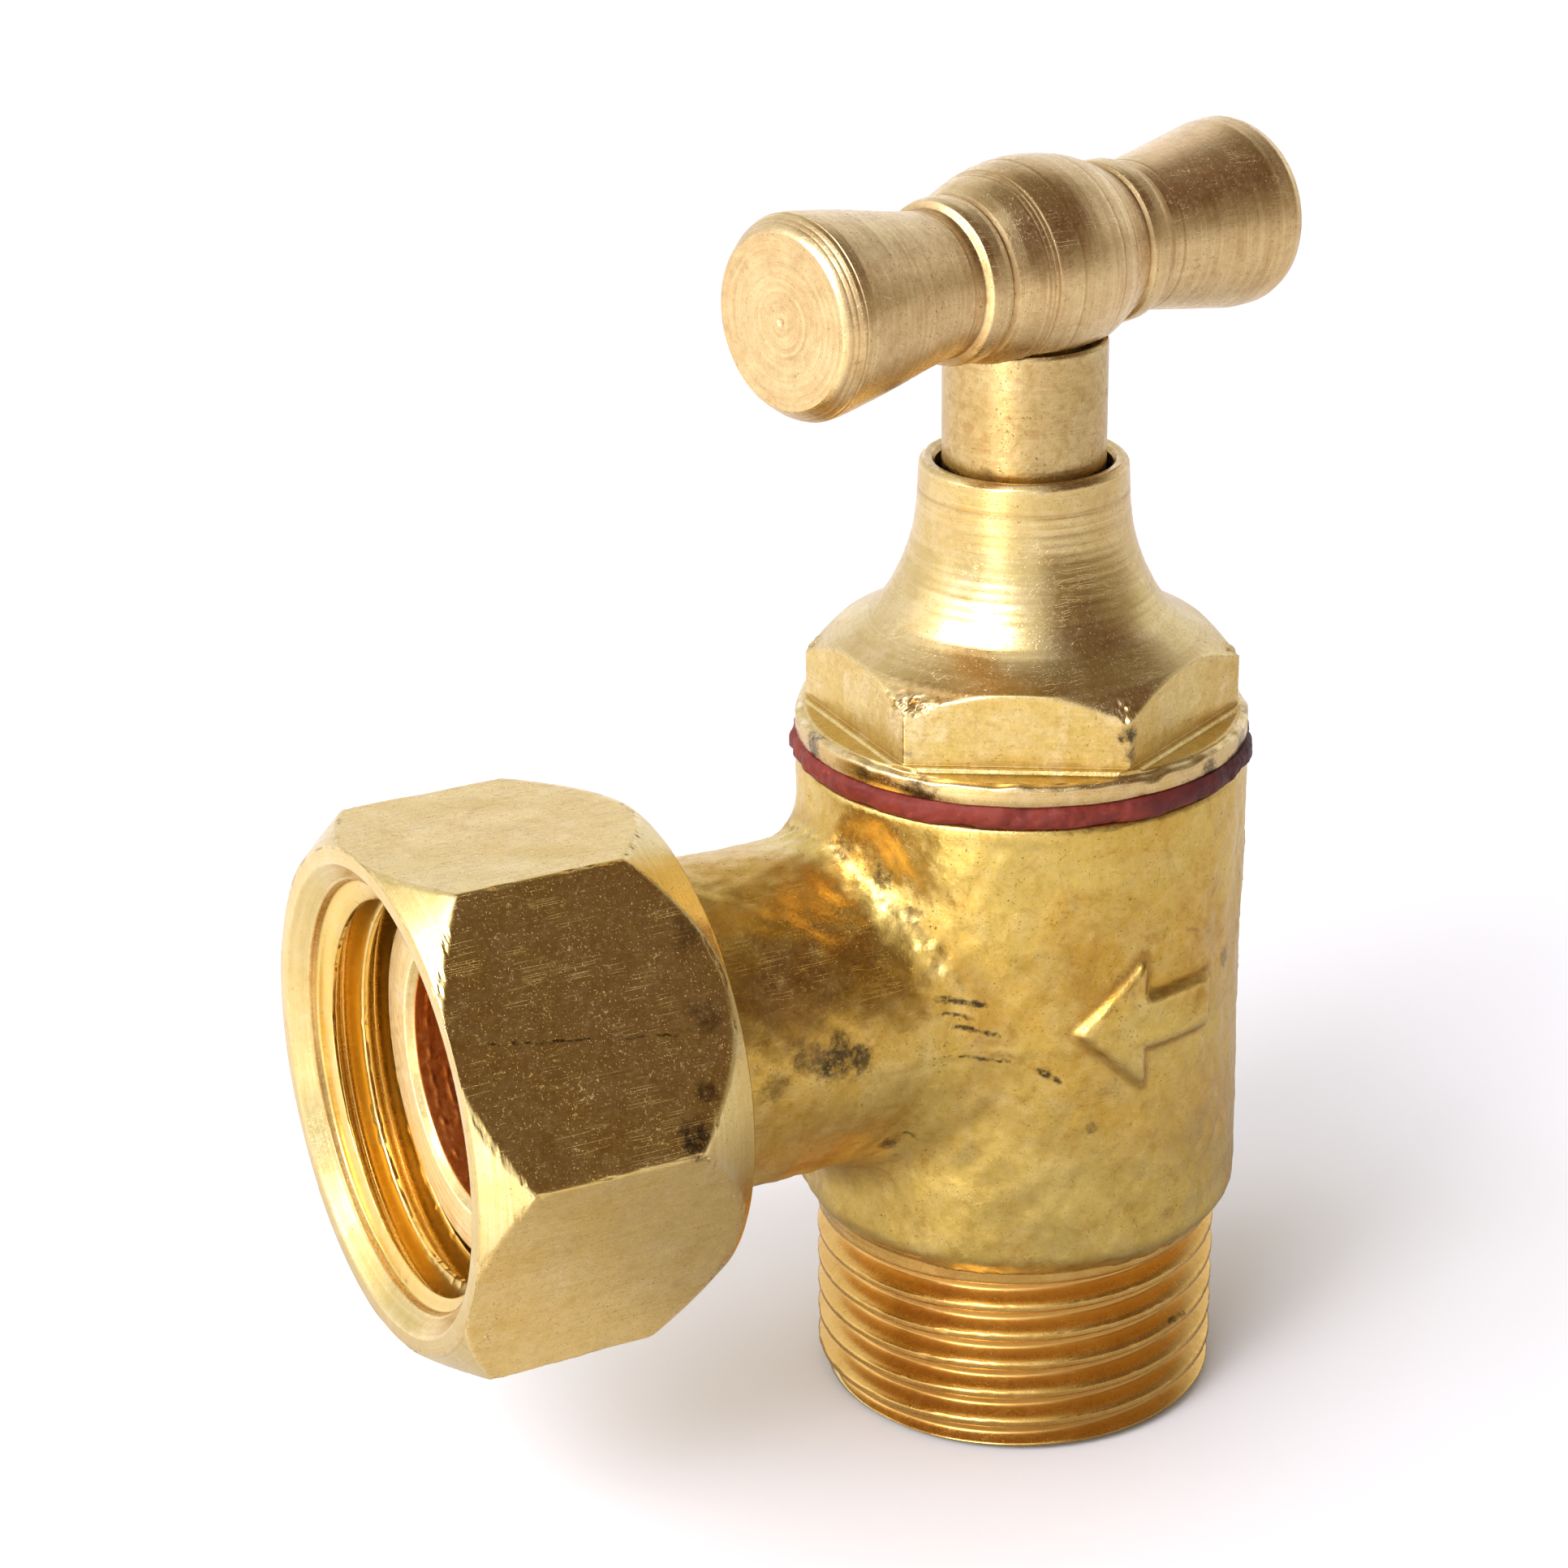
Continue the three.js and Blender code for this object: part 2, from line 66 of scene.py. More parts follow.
# ------------------------------------------------------------ driving sizes
spindle_low, spindle_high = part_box("spindle")
AXIS_X = (spindle_low.x + spindle_high.x) / 2 * 1000.0
BODY_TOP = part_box("valve_body")[1].z * 1000.0
GASKET_LOW, GASKET_HIGH = (corner.z * 1000.0 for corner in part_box("bonnet_gasket"))
nut_low, nut_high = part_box("union_nut")
NUT_MOUTH = -(nut_low.x * 1000.0 - AXIS_X)      # distances from the valve axis along -X
NUT_BACK = -(nut_high.x * 1000.0 - AXIS_X)
OUTLET_Z = (nut_low.z + nut_high.z) / 2 * 1000.0
if abs(OUTLET_Z - 18.705) < 0.6:                # the outlet axis's nominal height
    OUTLET_Z = 18.705
PITCH = 1.337                                   # inlet and union threads
SEAL_HEIGHTS = {"spindle_oring_lower": 36.9, "spindle_oring_upper": 38.9}
BAR_Z = 47.65
BAR_TURN = math.radians(14.28)
BONNET_TURN, BONNET_FLATS = math.radians(-2.3), 14.95
NUT_TURN, NUT_FLATS = math.radians(3.76), 19.56
BARREL_RADIUS, NECK_RADIUS = 9.034, 6.645
NECK_END = 24.89 - 1.2                          # the lathed tail covers the last 1.2

# local +Z to -X and local +X to +Z
TO_OUTLET = np.array([[0, 0, -1], [0, 1, 0], [1, 0, 0]], float)


# ------------------------------------------------------------ shaping functions
def smooth_min(first, second, blend):
    overlap = np.maximum(blend - np.abs(first - second), 0) / blend
    return np.minimum(first, second) - overlap * overlap * blend * 0.25


def smooth_max(first, second, blend):
    return -smooth_min(-first, -second, blend)


def ease(start, end, value):
    """Smooth step from 0 at start to 1 at end; start may be the larger."""
    t = np.clip((value - start) / (end - start), 0, 1)
    return t * t * (3 - 2 * t)


def hump(offset, width):
    return np.exp(-(offset / width) ** 2)


def thread_wave(z, theta, pitch, shift=0.0):
    """Triangle wave 0..1 along a right-hand helix."""
    return np.abs((z / pitch - theta / TAU + shift) % 1.0 - 0.5) * 2


class Waves:
    """Smooth seeded noise, about -1..1: a sum of plane waves near one length."""

    def __init__(self, seed, size, count=24):
        draw = np.random.default_rng(seed)
        direction = draw.normal(size=(count, 3))
        direction /= np.linalg.norm(direction, axis=1)[:, None]
        spread = math.log(2.2)
        frequency = TAU / (size * np.exp(draw.uniform(-spread, spread, count)))
        self.vectors = direction * frequency[:, None]
        self.phases = draw.uniform(0, TAU, count)
        self.gain = 1.6 / math.sqrt(count)

    def __call__(self, points):
        waves = zip(self.vectors, self.phases)
        return sum(np.sin(points @ vector + phase) for vector, phase in waves) * self.gain


def noise_at(noise, radius, theta, z, scale=1.0):
    """Noise sampled on rings, in the rings' shape."""
    points = np.broadcast_arrays(radius * np.cos(theta), radius * np.sin(theta), z)
    points = np.stack(points, -1)
    return noise(points.reshape(-1, 3) * scale).reshape(points.shape[:-1])


# ------------------------------------------------------------ mesh functions
def mesh_object(name, points, quads, fans=(), attributes=None, uv=None, materials=(),
                material_index=None, body="valve", node=None, slot=None):
    """Smooth mesh of quads and then triangles, with attributes and roles in the frame."""
    mesh = bpy.data.meshes.new(name)
    points = (points + np.array([AXIS_X, 0, 0])) * 1e-3
    mesh.vertices.add(len(points))
    mesh.vertices.foreach_set("co", points.astype(np.float32).ravel())
    quads = np.asarray(quads, np.int32).reshape(-1, 4)
    fans = np.asarray(fans, np.int32).reshape(-1, 3)
    loops = np.concatenate([quads.ravel(), fans.ravel()])
    starts = np.concatenate([np.arange(len(quads)) * 4,
                             len(quads) * 4 + np.arange(len(fans)) * 3])
    mesh.loops.add(len(loops))
    mesh.loops.foreach_set("vertex_index", loops)
    mesh.polygons.add(len(starts))
    mesh.polygons.foreach_set("loop_start", starts.astype(np.int32))
    mesh.polygons.foreach_set("use_smooth", np.ones(len(starts), bool))
    if material_index is not None:
        mesh.polygons.foreach_set("material_index", np.asarray(material_index, np.int32))
    mesh.update(calc_edges=True)
    for key, values in attributes.items():
        values = np.asarray(values, np.float32)
        kind, field = ("FLOAT_VECTOR", "vector") if values.ndim == 2 else ("FLOAT", "value")
        mesh.attributes.new(key, kind, "POINT").data.foreach_set(field, values.ravel())
    if uv is not None:
        layer = mesh.uv_layers.new(name="turn_uv")
        layer.data.foreach_set("uv", np.asarray(uv, np.float32).ravel())
    for material in materials:
        mesh.materials.append(material)
    mesh.validate()
    piece = bpy.data.objects.new(name, mesh)
    bpy.context.scene.collection.objects.link(piece)
    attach(piece, body)
    if node:
        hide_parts(node)
    return piece


def profile(corners, step, arc):
    """Samples (radius, height[, fillet]) corners, each fillet with at least arc pieces.

    Gives four rows: radius, height, edge wear with painted edge highlight, and arclength.
    """
    points = [np.array(corner[:2], float) for corner in corners]
    bends = [(points[0], 0.0)]                  # place, edge wear
    for i in range(1, len(points) - 1):
        here = points[i]
        fillet = corners[i][2] if len(corners[i]) > 2 else 0.0
        if fillet <= 0:
            bends.append((here, 1.0))
            continue
        back, ahead = points[i - 1] - here, points[i + 1] - here
        back_length, ahead_length = np.linalg.norm(back), np.linalg.norm(ahead)
        back /= back_length
        ahead /= ahead_length
        angle = math.acos(max(-1, min(1, float(back @ ahead))))
        if angle > 3.12:                        # nearly straight
            bends.append((here, 0.0))
            continue
        half_tan = math.tan(angle / 2)
        reach = min(fillet / half_tan, 0.48 * back_length, 0.48 * ahead_length)
        radius = reach * half_tan
        middle = (back + ahead) / np.linalg.norm(back + ahead)
        centre = here + middle * (radius / math.sin(angle / 2))
        start = math.atan2(*(here + back * reach - centre)[::-1])
        end = math.atan2(*(here + ahead * reach - centre)[::-1])
        sweep = (end - start + math.pi) % TAU - math.pi
        count = max(arc, int(abs(sweep) * radius / 0.25) + 1)
        most_wear_and_highlight = 1.0 if radius < 0.6 else 0.25
        for j in range(count + 1):
            at = start + sweep * j / count
            wear_and_highlight = most_wear_and_highlight * math.sin(math.pi * (j + 0.5) / (count + 1))
            bends.append((centre + radius * np.array([math.cos(at), math.sin(at)]), wear_and_highlight))
    bends.append((points[-1], 0.0))

    samples = [(*bends[0][0], bends[0][1])]
    for (start, start_wear_and_highlight), (end, end_wear_and_highlight) in zip(bends, bends[1:]):
        count = max(1, math.ceil(np.linalg.norm(end - start) / step))
        for j in range(1, count + 1):
            t = j / count
            if t < 0.5:
                wear_and_highlight = start_wear_and_highlight * max(0, 1 - 3 * t) * 0.6
            elif t < 1:
                wear_and_highlight = end_wear_and_highlight * max(0, 3 * t - 2) * 0.6
            else:
                wear_and_highlight = end_wear_and_highlight
            samples.append((*(start + (end - start) * t), wear_and_highlight))
    samples = np.array(samples).T
    apart = np.hypot(*np.diff(samples[:2])) > 1e-6
    samples = samples[:, np.concatenate([[True], apart])]
    run = np.concatenate([[0], np.cumsum(np.hypot(*np.diff(samples[:2])))])
    return np.vstack([samples, run])


def refine(outline, zones, step):
    """Adds samples where the outline lies in a (z low, z high, radius low, high) zone."""
    samples = outline.T
    out = [samples[0]]
    for last, point in zip(samples, samples[1:]):
        radius, z = (last[:2] + point[:2]) / 2
        if any(z0 <= z <= z1 and r0 <= radius <= r1 for z0, z1, r0, r1 in zones):
            count = max(1, math.ceil(np.hypot(*(point[:2] - last[:2])) / step))
            out += [last + (point - last) * j / count for j in range(1, count)]
        out.append(point)
    return np.array(out).T


def loft(name, radius, z, wear_and_highlight, run, theta, cavity=0.0, closed=False, tilt=np.eye(3),
         lift=0.0, material_index=None, **roles):
    """Rings about local Z, joined into a skin.

    Values are per ring, or per ring and angle. A closed loft joins its last ring to its
    first; an open one starts and ends in a point on the axis.
    """
    shape = (len(run), len(theta))

    def spread(value):
        value = np.asarray(value, float)
        return np.broadcast_to(value if value.ndim == 2 else value.reshape(-1, 1), shape)

    cosine, sine = (np.broadcast_to(wave, shape) for wave in (np.cos(theta), np.sin(theta)))
    radius = spread(radius)
    # columns: x, y, z, then rev (cosine, sine, run), wear and painted highlight, cavity
    grid = np.stack([radius * cosine, radius * sine, spread(z), cosine, sine, spread(run),
                     spread(wear_and_highlight), spread(cavity)], -1)
    first = 0 if closed else 1
    rings = grid if closed else grid[1:-1]
    count, columns = rings.shape[:2]
    points = rings.reshape(-1, 8)
    rows = count if closed else count - 1
    ring = np.arange(rows)[:, None] * columns
    next_ring = (np.arange(rows)[:, None] + 1) % count * columns
    column = np.arange(columns)
    next_column = (column + 1) % columns
    quads = np.stack([ring + column, ring + next_column,
                      next_ring + next_column, next_ring + column], -1).reshape(-1, 4)

    across = np.append(theta, theta[0] + TAU) / TAU
    along = np.append(run, run[-1] + 0.1)[:, None] * 0.05
    left, right = across[:-1], across[1:]
    low, high = along[first:first + rows], along[first + 1:first + 1 + rows]
    corners = ((left, low), (right, low), (right, high), (left, high))
    uv = np.stack([np.stack(np.broadcast_arrays(*corner), -1) for corner in corners], 2)
    uv = uv.reshape(-1, 4, 2)

    fans = np.zeros((0, 3), int)
    fan_uv = np.zeros((0, 3, 2))
    if not closed:
        poles = [[0, 0, grid[end, 0, 2], 0, 0, run[end], 0, 0] for end in (0, -1)]
        pole = len(points)
        last = (count - 1) * columns
        points = np.vstack([points, poles])
        fans = np.concatenate([
            np.stack([np.full(columns, pole), next_column, column], -1),
            np.stack([last + column, last + next_column, np.full(columns, pole + 1)], -1)])
        fan_uv = np.tile([[0.0, 0.0], [0.0, 0.01], [0.01, 0.0]], (2 * columns, 1))
        fan_uv = fan_uv.reshape(-1, 3, 2)

    # a negative volume means the faces point inwards
    triangles = np.concatenate([quads[:, :3], quads[:, [0, 2, 3]], fans])
    one, two, three = (points[triangles[:, k], :3] for k in range(3))
    if np.einsum("ij,ij->i", one, np.cross(two, three)).sum() < 0:
        quads, fans, uv, fan_uv = (item[:, ::-1] for item in (quads, fans, uv, fan_uv))
    if material_index is not None:
        material_index = spread(material_index).ravel()
    return mesh_object(
        name, points[:, :3] @ tilt.T + np.array([0, 0, lift]), quads, fans,
        {"rev": points[:, 3:6], "wear_and_highlight": points[:, 6], "cav": points[:, 7]},
        np.concatenate([uv.reshape(-1, 2), fan_uv.reshape(-1, 2)]),
        material_index=material_index, **roles)


class Rings:
    """Collects the rings of a closed loft one by one."""

    def __init__(self, theta):
        self.theta = theta
        self.run = 0.0
        self.runs = []
        self.rings = []

    def add(self, step, radius, z, wear_and_highlight=0.0, cavity=0.0, material=0):
        """Adds a ring; step is the run length on to the next one."""
        ring = (radius, z, wear_and_highlight, cavity, material)
        self.rings.append([np.broadcast_to(value, self.theta.shape) for value in ring])
        self.runs.append(self.run)
        self.run += step

    def arrays(self):
        """Radius, z, wear with painted highlight, cavity and material index, each by ring and
        angle.
        """
        return np.array(self.rings, float).transpose(1, 0, 2)

    def loft(self, name, arrays=None, **roles):
        radius, z, wear_and_highlight, cavity, material = self.arrays() if arrays is None else arrays
        loft(name, radius, z, wear_and_highlight, np.array(self.runs), self.theta, cavity=cavity,
             closed=True, material_index=material, **roles)


def circle_angles(count):
    return np.arange(count) * TAU / count


def hex_angles(count, turn, corner_span, extra):
    """Angles round a circle, with extra ones beside the corners of a hexagon."""
    angles = list(circle_angles(count))
    for side in range(6):
        corner = turn + math.pi / 6 + side * math.pi / 3
        angles += [(corner + offset) % TAU
                   for offset in np.linspace(-corner_span, corner_span, extra)]
    angles = np.sort(np.array(angles) % TAU)
    closest = TAU / count * 0.18
    kept = [angles[0]]
    for angle in angles[1:]:
        if angle - kept[-1] > closest:
            kept.append(angle)
    if kept[0] + TAU - kept[-1] < closest:
        kept.pop()
    return np.array(kept)


def hex_outline(theta, flats, turn, corner_radius):
    """Radius of a round-cornered hexagon, and 0..1 nearness to its corners.

    turn is the angle of one flat's normal.
    """
    from_flat = (theta - turn + math.pi / 6) % (math.pi / 3) - math.pi / 6
    from_corner = math.pi / 6 - np.abs(from_flat)
    centre = (flats / 2 - corner_radius) / math.cos(math.pi / 6)
    corner_span = math.atan2(corner_radius * 0.5,
                             centre + corner_radius * math.cos(math.pi / 6))
    chord = np.maximum(corner_radius ** 2 - (centre * np.sin(from_corner)) ** 2, 0)
    rounded = centre * np.cos(from_corner) + np.sqrt(chord)
    edge = np.clip(1 - from_corner / (corner_span * 1.6), 0, 1)
    flat = flats / 2 / np.cos(from_flat)
    return np.where(from_corner < corner_span, rounded, flat), edge


# ------------------------------------------------------------ shader nodes
class Net:
    """Adds nodes to a shader tree and wires them; the helpers give output sockets."""

    def __init__(self, tree):
        self.tree = tree

    def feed(self, socket, value):
        """Links another socket, or sets a plain value."""
        if isinstance(value, bpy.types.NodeSocket):
            self.tree.links.new(value, socket)
        else:
            socket.default_value = value

    def add(self, kind, inputs=None, **props):
        node = self.tree.nodes.new(kind)
        for key, value in props.items():
            setattr(node, key, value)
        for key, value in (inputs or {}).items():
            self.feed(node.inputs[key], value)
        return node

    def math(self, operation, first, second=0.0, clamp=False):
        return self.add("ShaderNodeMath", {0: first, 1: second},
                        operation=operation, use_clamp=clamp).outputs[0]

    def times(self, first, second, clamp=False):
        return self.math("MULTIPLY", first, second, clamp)

    def plus(self, first, second):
        return self.math("ADD", first, second)

    def vector(self, operation, first, second=None):
        inputs = {0: first}
        if second is not None:
            inputs["Scale" if operation == "SCALE" else 1] = second
        scalar = operation in ("DOT_PRODUCT", "DISTANCE", "LENGTH")
        node = self.add("ShaderNodeVectorMath", inputs, operation=operation)
        return node.outputs["Value" if scalar else "Vector"]

    def position(self):
        """Object position in millimetres."""
        coords = self.add("ShaderNodeTexCoord").outputs["Object"]
        return self.vector("MULTIPLY", coords, (1000.0, 1000.0, 1000.0))

    def attribute(self, name, output="Fac"):
        return self.add("ShaderNodeAttribute", attribute_name=name,
                        attribute_type="GEOMETRY").outputs[output]

    def noise(self, coords, scale=1.0, detail=3.0, rough=0.55, warp=0.0, shift=None, output=0):
        if shift is not None:
            coords = self.vector("ADD", coords, shift)
        inputs = {"Scale": scale, "Detail": detail, "Roughness": rough, "Distortion": warp,
                  "Vector": coords}
        return self.add("ShaderNodeTexNoise", inputs).outputs[output]

    def remap(self, value, low, high, to_low=0.0, to_high=1.0, smooth=True):
        return self.add("ShaderNodeMapRange",
                        {0: value, 1: low, 2: high, 3: to_low, 4: to_high},
                        interpolation_type="SMOOTHSTEP" if smooth else "LINEAR",
                        clamp=True).outputs[0]

    def patches(self, coords, low, high, to_low=0.0, **noise):
        """Noise cut to patches, eased from low to high."""
        return self.remap(self.noise(coords, **noise), low, high, to_low)

    def mix(self, factor, first, second):
        colours = [(*colour, 1.0) if isinstance(colour, tuple) else colour
                   for colour in (first, second)]
        return self.add("ShaderNodeMix", {"Factor": factor, 6: colours[0], 7: colours[1]},
                        data_type="RGBA").outputs[2]

    def tint(self, colour, new, mask, amount, clamp=False):
        return self.mix(self.times(mask, amount, clamp), colour, new)

    def bump(self, height, distance, strength, normal=None):
        inputs = {"Distance": distance, "Strength": strength, "Height": height}
        if normal is not None:
            inputs["Normal"] = normal
        return self.add("ShaderNodeBump", inputs).outputs[0]


def new_material(name):
    material = bpy.data.materials.new(name)
    material.use_nodes = True
    material.node_tree.nodes.clear()
    return material, Net(material.node_tree)


def shaded(colour, factors):
    return tuple(channel * factor for channel, factor in zip(colour, factors))


def lighter(colour, gain):
    return tuple(min(1.0, channel * gain) for channel in colour)


# ------------------------------------------------------------ brass
def turned_lines(net, rate):
    """Tool lines that follow the run of a lathed outline."""
    rev = net.attribute("rev", "Vector")
    coarse = net.noise(net.vector("MULTIPLY", rev, (0.35, 0.35, rate)), detail=5.0, rough=0.75)
    fine = net.noise(net.vector("MULTIPLY", rev, (1.6, 1.6, rate * 2.7)),
                     detail=3.0, rough=0.7)
    return net.plus(net.times(coarse, 0.65), net.times(fine, 0.35))


def stray_scratches(net, coords):
    """Thin broken lines in three directions."""
    scratches = None
    for i, rotation in enumerate(((0.3, 0.9, 0.2), (1.2, 0.1, 0.7), (0.5, 2.0, 1.4))):
        mapping = net.add("ShaderNodeMapping", {
            "Rotation": rotation, "Scale": (0.16, 5.0, 5.0),
            "Vector": net.vector("ADD", coords, (i * 17.0, i * 5.0, 3.0))})
        noise = net.noise(mapping.outputs[0], detail=1.0, rough=0.4)
        off_line = net.math("ABSOLUTE", net.math("SUBTRACT", noise, 0.5))
        line = net.math("SUBTRACT", 1.0, net.remap(off_line, low=0.0, high=0.012))
        gate = net.patches(coords, low=0.56, high=0.66, scale=0.5, detail=2.0, rough=0.5,
                           shift=(i * 23.0, 50.0, i * 3.0))
        layer = net.times(line, gate)
        scratches = layer if scratches is None else net.math("MAXIMUM", scratches, layer)
    return scratches


def placed_marks(net, colour, position, coords, strokes, spots):
    """Strokes and then spots with ragged outlines, at given places on the valve."""
    def wobbled(amount, scale, detail):
        noise = net.noise(coords, scale=scale, detail=detail, rough=0.7, output="Color")
        offset = net.vector("SCALE", net.vector("SUBTRACT", noise, (0.5, 0.5, 0.5)), amount)
        return net.vector("ADD", position, offset)

    def mark(tone, amount, distance, outer, inner, breaks):
        cover = net.remap(distance, outer, inner)
        return net.mix(net.times(net.times(cover, breaks), amount), colour, tone)

    for *ends, half_width, tone, amount in strokes:
        start = Vector((AXIS_X + ends[0], *ends[1:3]))
        span = Vector((AXIS_X + ends[3], *ends[4:])) - start
        offset = net.vector("SUBTRACT", wobbled(amount=0.5, scale=1.3, detail=3.0), start)
        along = net.vector("DOT_PRODUCT", offset, span / span.length_squared)
        along = net.math("ADD", along, 0.0, clamp=True)
        nearest = net.vector("SCALE", span, along)
        breaks = net.patches(coords, low=0.36, high=0.56, to_low=0.25, scale=2.4,
                             detail=3.0, rough=0.7, shift=(61.0, 6.0, 19.0))
        colour = mark(tone, amount, net.vector("DISTANCE", offset, nearest),
                      half_width, half_width * 0.25, breaks)
    for x, y, z, radius, tone, amount, scale in spots:
        place = wobbled(amount=radius * 2.2, scale=scale, detail=4.0)
        breaks = net.patches(coords, low=0.34, high=0.54, to_low=0.45, scale=2.9,
                             detail=4.0, rough=0.7, shift=(5.0, 44.0, 31.0))
        colour = mark(tone, amount, net.vector("DISTANCE", place, (AXIS_X + x, y, z)),
                      radius * 1.1, radius * 0.35, breaks)
    return colour


def brass(name, seed, base, warm, pale, rough=0.27, turn=0.0, line_rate=None, grain=0.5,
          pits=0.5, stains=0.4, scratch=0.5, aniso=0.0, hollow=None, drawn=None, warmth=0.55,
          dirt_and_shade=1.0, spots=(), strokes=(), mottle=0.5, glint=0.0, patina=0.3):
    """Worn brass in three tones.

    turn and line_rate set lathe lines, drawn the scale of straight ones; hollow is the
    colour of dirt in hollows and of painted shade on the bonnet rim; glint is the amount
    of painted glints, tiny near-white specks; the rest are amounts of each kind of wear
    and dirt, the dirt amount also scaling that painted shade.
    """
    material, net = new_material(name)
    position = net.position()
    coords = net.vector("ADD", position, (seed * 13.1, seed * 7.7, seed * 3.3))
    brown = shaded(warm, (0.62, 0.52, 0.42))

    # broad warm and pale clouds, then a brown film in soft patches
    mask = net.patches(coords, low=0.38, high=0.66, scale=0.11, rough=0.6, warp=0.4)
    colour = net.tint(base, warm, mask, amount=warmth)
    mask = net.patches(coords, low=0.42, high=0.72, scale=0.55, detail=4.0, rough=0.62,
                       warp=0.6)
    colour = net.tint(colour, pale, mask, amount=0.55)
    mask = net.patches(coords, low=0.50, high=0.72, scale=0.95, detail=5.0, rough=0.72,
                       warp=0.5, shift=(71.0, 15.0, 2.0))
    colour = net.tint(colour, shaded(warm, (0.66, 0.56, 0.46)), mask, amount=0.55 * patina)

    # fine light and dark mottling
    spread = net.noise(coords, scale=2.6, detail=6.0, rough=0.78, warp=0.3,
                       shift=(7.0, 35.0, 22.0))
    value = net.remap(spread, 0.34, 0.66, to_low=1.0 - 0.26 * mottle,
                      to_high=1.0 + 0.16 * mottle, smooth=False)
    saturation = net.remap(spread, 0.34, 0.66, to_low=1.0 + 0.10 * mottle,
                           to_high=1.0 - 0.10 * mottle, smooth=False)
    colour = net.add("ShaderNodeHueSaturation", {
        "Color": colour, "Value": value, "Saturation": saturation}).outputs["Color"]

    # faint vertical streaks, then soft-edged stains
    mask = net.patches(net.vector("MULTIPLY", coords, (2.6, 2.6, 0.45)), low=0.50, high=0.68,
                       detail=4.0, rough=0.7)
    colour = net.tint(colour, shaded(warm, (0.72, 0.66, 0.6)), mask, amount=0.20 * mottle)
    stain = net.patches(coords, low=0.56, high=0.74, scale=0.32, detail=6.0, rough=0.68,
                        warp=0.9, shift=(31.0, 5.0, 11.0))
    stain = net.times(stain, 0.55 * stains)
    colour = net.mix(stain, colour, brown)

    # dark specks: larger ones in clusters, finer ones everywhere
    clusters = net.patches(coords, low=0.47, high=0.68, scale=0.8, rough=0.6,
                           shift=(3.0, 41.0, 8.0))
    large = net.patches(coords, low=0.60, high=0.70, scale=5.6, detail=4.0, rough=0.72,
                        shift=(9.0, 2.0, 77.0))
    small = net.patches(coords, low=0.64, high=0.72, scale=11.0, detail=2.0, rough=0.6,
                        shift=(19.0, 62.0, 7.0))
    speck = net.math("MAXIMUM", net.times(large, clusters), net.times(small, 0.6))
    speck = net.times(speck, 0.75 * pits)
    colour = net.mix(speck, colour, (0.055, 0.034, 0.014))

    # turning or drawing lines
    lines = None
    if turn > 0:
        lines = turned_lines(net, line_rate)
        shown = min(1.0, turn)
        colour = net.tint(colour, lighter(pale, 1.08), net.remap(lines, low=0.50, high=0.62),
                          amount=0.42 * shown)
        colour = net.tint(colour, brown, net.remap(lines, low=0.50, high=0.36),
                          amount=0.30 * shown)
    elif drawn is not None:
        lines = net.noise(net.vector("MULTIPLY", coords, drawn), detail=4.0, rough=0.7)
        colour = net.tint(colour, pale, net.remap(lines, low=0.50, high=0.66), amount=0.16)
        colour = net.tint(colour, brown, net.remap(lines, low=0.48, high=0.32), amount=0.14)

    scratches = stray_scratches(net, coords)
    colour = net.tint(colour, lighter(pale, 1.25), scratches, amount=0.35 * scratch)

    # dirt in hollows and painted shade on the bonnet rim, edges paler from wear and painted
    # highlight, painted glints as tiny near-white specks
    mask = net.patches(coords, low=0.36, high=0.60, scale=2.3, detail=4.0, rough=0.7,
                       shift=(4.0, 90.0, 1.0))
    worn_and_highlit = net.times(net.attribute("wear_and_highlight"), mask, clamp=True)
    mask = net.patches(coords, low=0.25, high=0.60, to_low=0.55, scale=1.1, rough=0.6)
    hollow_dirt_and_shade = net.times(net.attribute("cav"), mask, clamp=True)
    colour = net.tint(colour, hollow or shaded(warm, (0.55, 0.40, 0.25)), hollow_dirt_and_shade,
                      amount=0.85 * dirt_and_shade, clamp=True)
    colour = net.tint(colour, lighter(pale, 1.12), worn_and_highlit, amount=0.55)
    if glint > 0:
        mask = net.patches(coords, low=0.72, high=0.76, scale=6.2, detail=2.0, rough=0.6,
                           shift=(27.0, 3.0, 55.0))
        colour = net.tint(colour, (0.98, 0.93, 0.78), mask, amount=glint)
    colour = placed_marks(net, colour, position, coords, strokes, spots)

    # stains, specks and dirt are rougher, worn edges smoother
    roughness = net.remap(net.noise(coords, scale=4.2, rough=0.6), 0.3, 0.7,
                          to_low=rough * 0.85, to_high=rough * 1.25, smooth=False)
    for mask, amount in ((stain, 0.18), (speck, 0.35), (hollow_dirt_and_shade, 0.10)):
        roughness = net.plus(roughness, net.times(mask, amount))
    roughness = net.math("SUBTRACT", roughness, net.times(worn_and_highlit, 0.06), clamp=True)

    # relief: coarse and fine grain, sunk specks and scratches, then the lines
    coarse = net.times(net.noise(coords, scale=1.3, rough=0.6), 0.9 * grain)
    fine = net.times(net.noise(coords, scale=6.5, detail=4.0, rough=0.65), 0.42 * grain)
    height = net.math("SUBTRACT", net.plus(coarse, fine), net.times(speck, 0.9))
    height = net.math("SUBTRACT", height, net.times(scratches, 0.30 * scratch))
    normal = net.bump(height, distance=0.000035, strength=0.55)
    if lines is not None:
        strength = 0.45 if turn <= 0 else min(1.0, 0.5 * turn)
        normal = net.bump(lines, distance=0.000022, strength=strength, normal=normal)

    shader = net.add("ShaderNodeBsdfPrincipled", {
        "Metallic": 1.0, "Base Color": colour, "Roughness": roughness, "Normal": normal})
    if aniso > 0:
        tangent = net.add("ShaderNodeTangent", direction_type="UV_MAP", uv_map="turn_uv")
        net.feed(shader.inputs["Anisotropic"], aniso)
        net.feed(shader.inputs["Tangent"], tangent.outputs[0])
    net.add("ShaderNodeOutputMaterial", {"Surface": shader.outputs[0]})
    return material


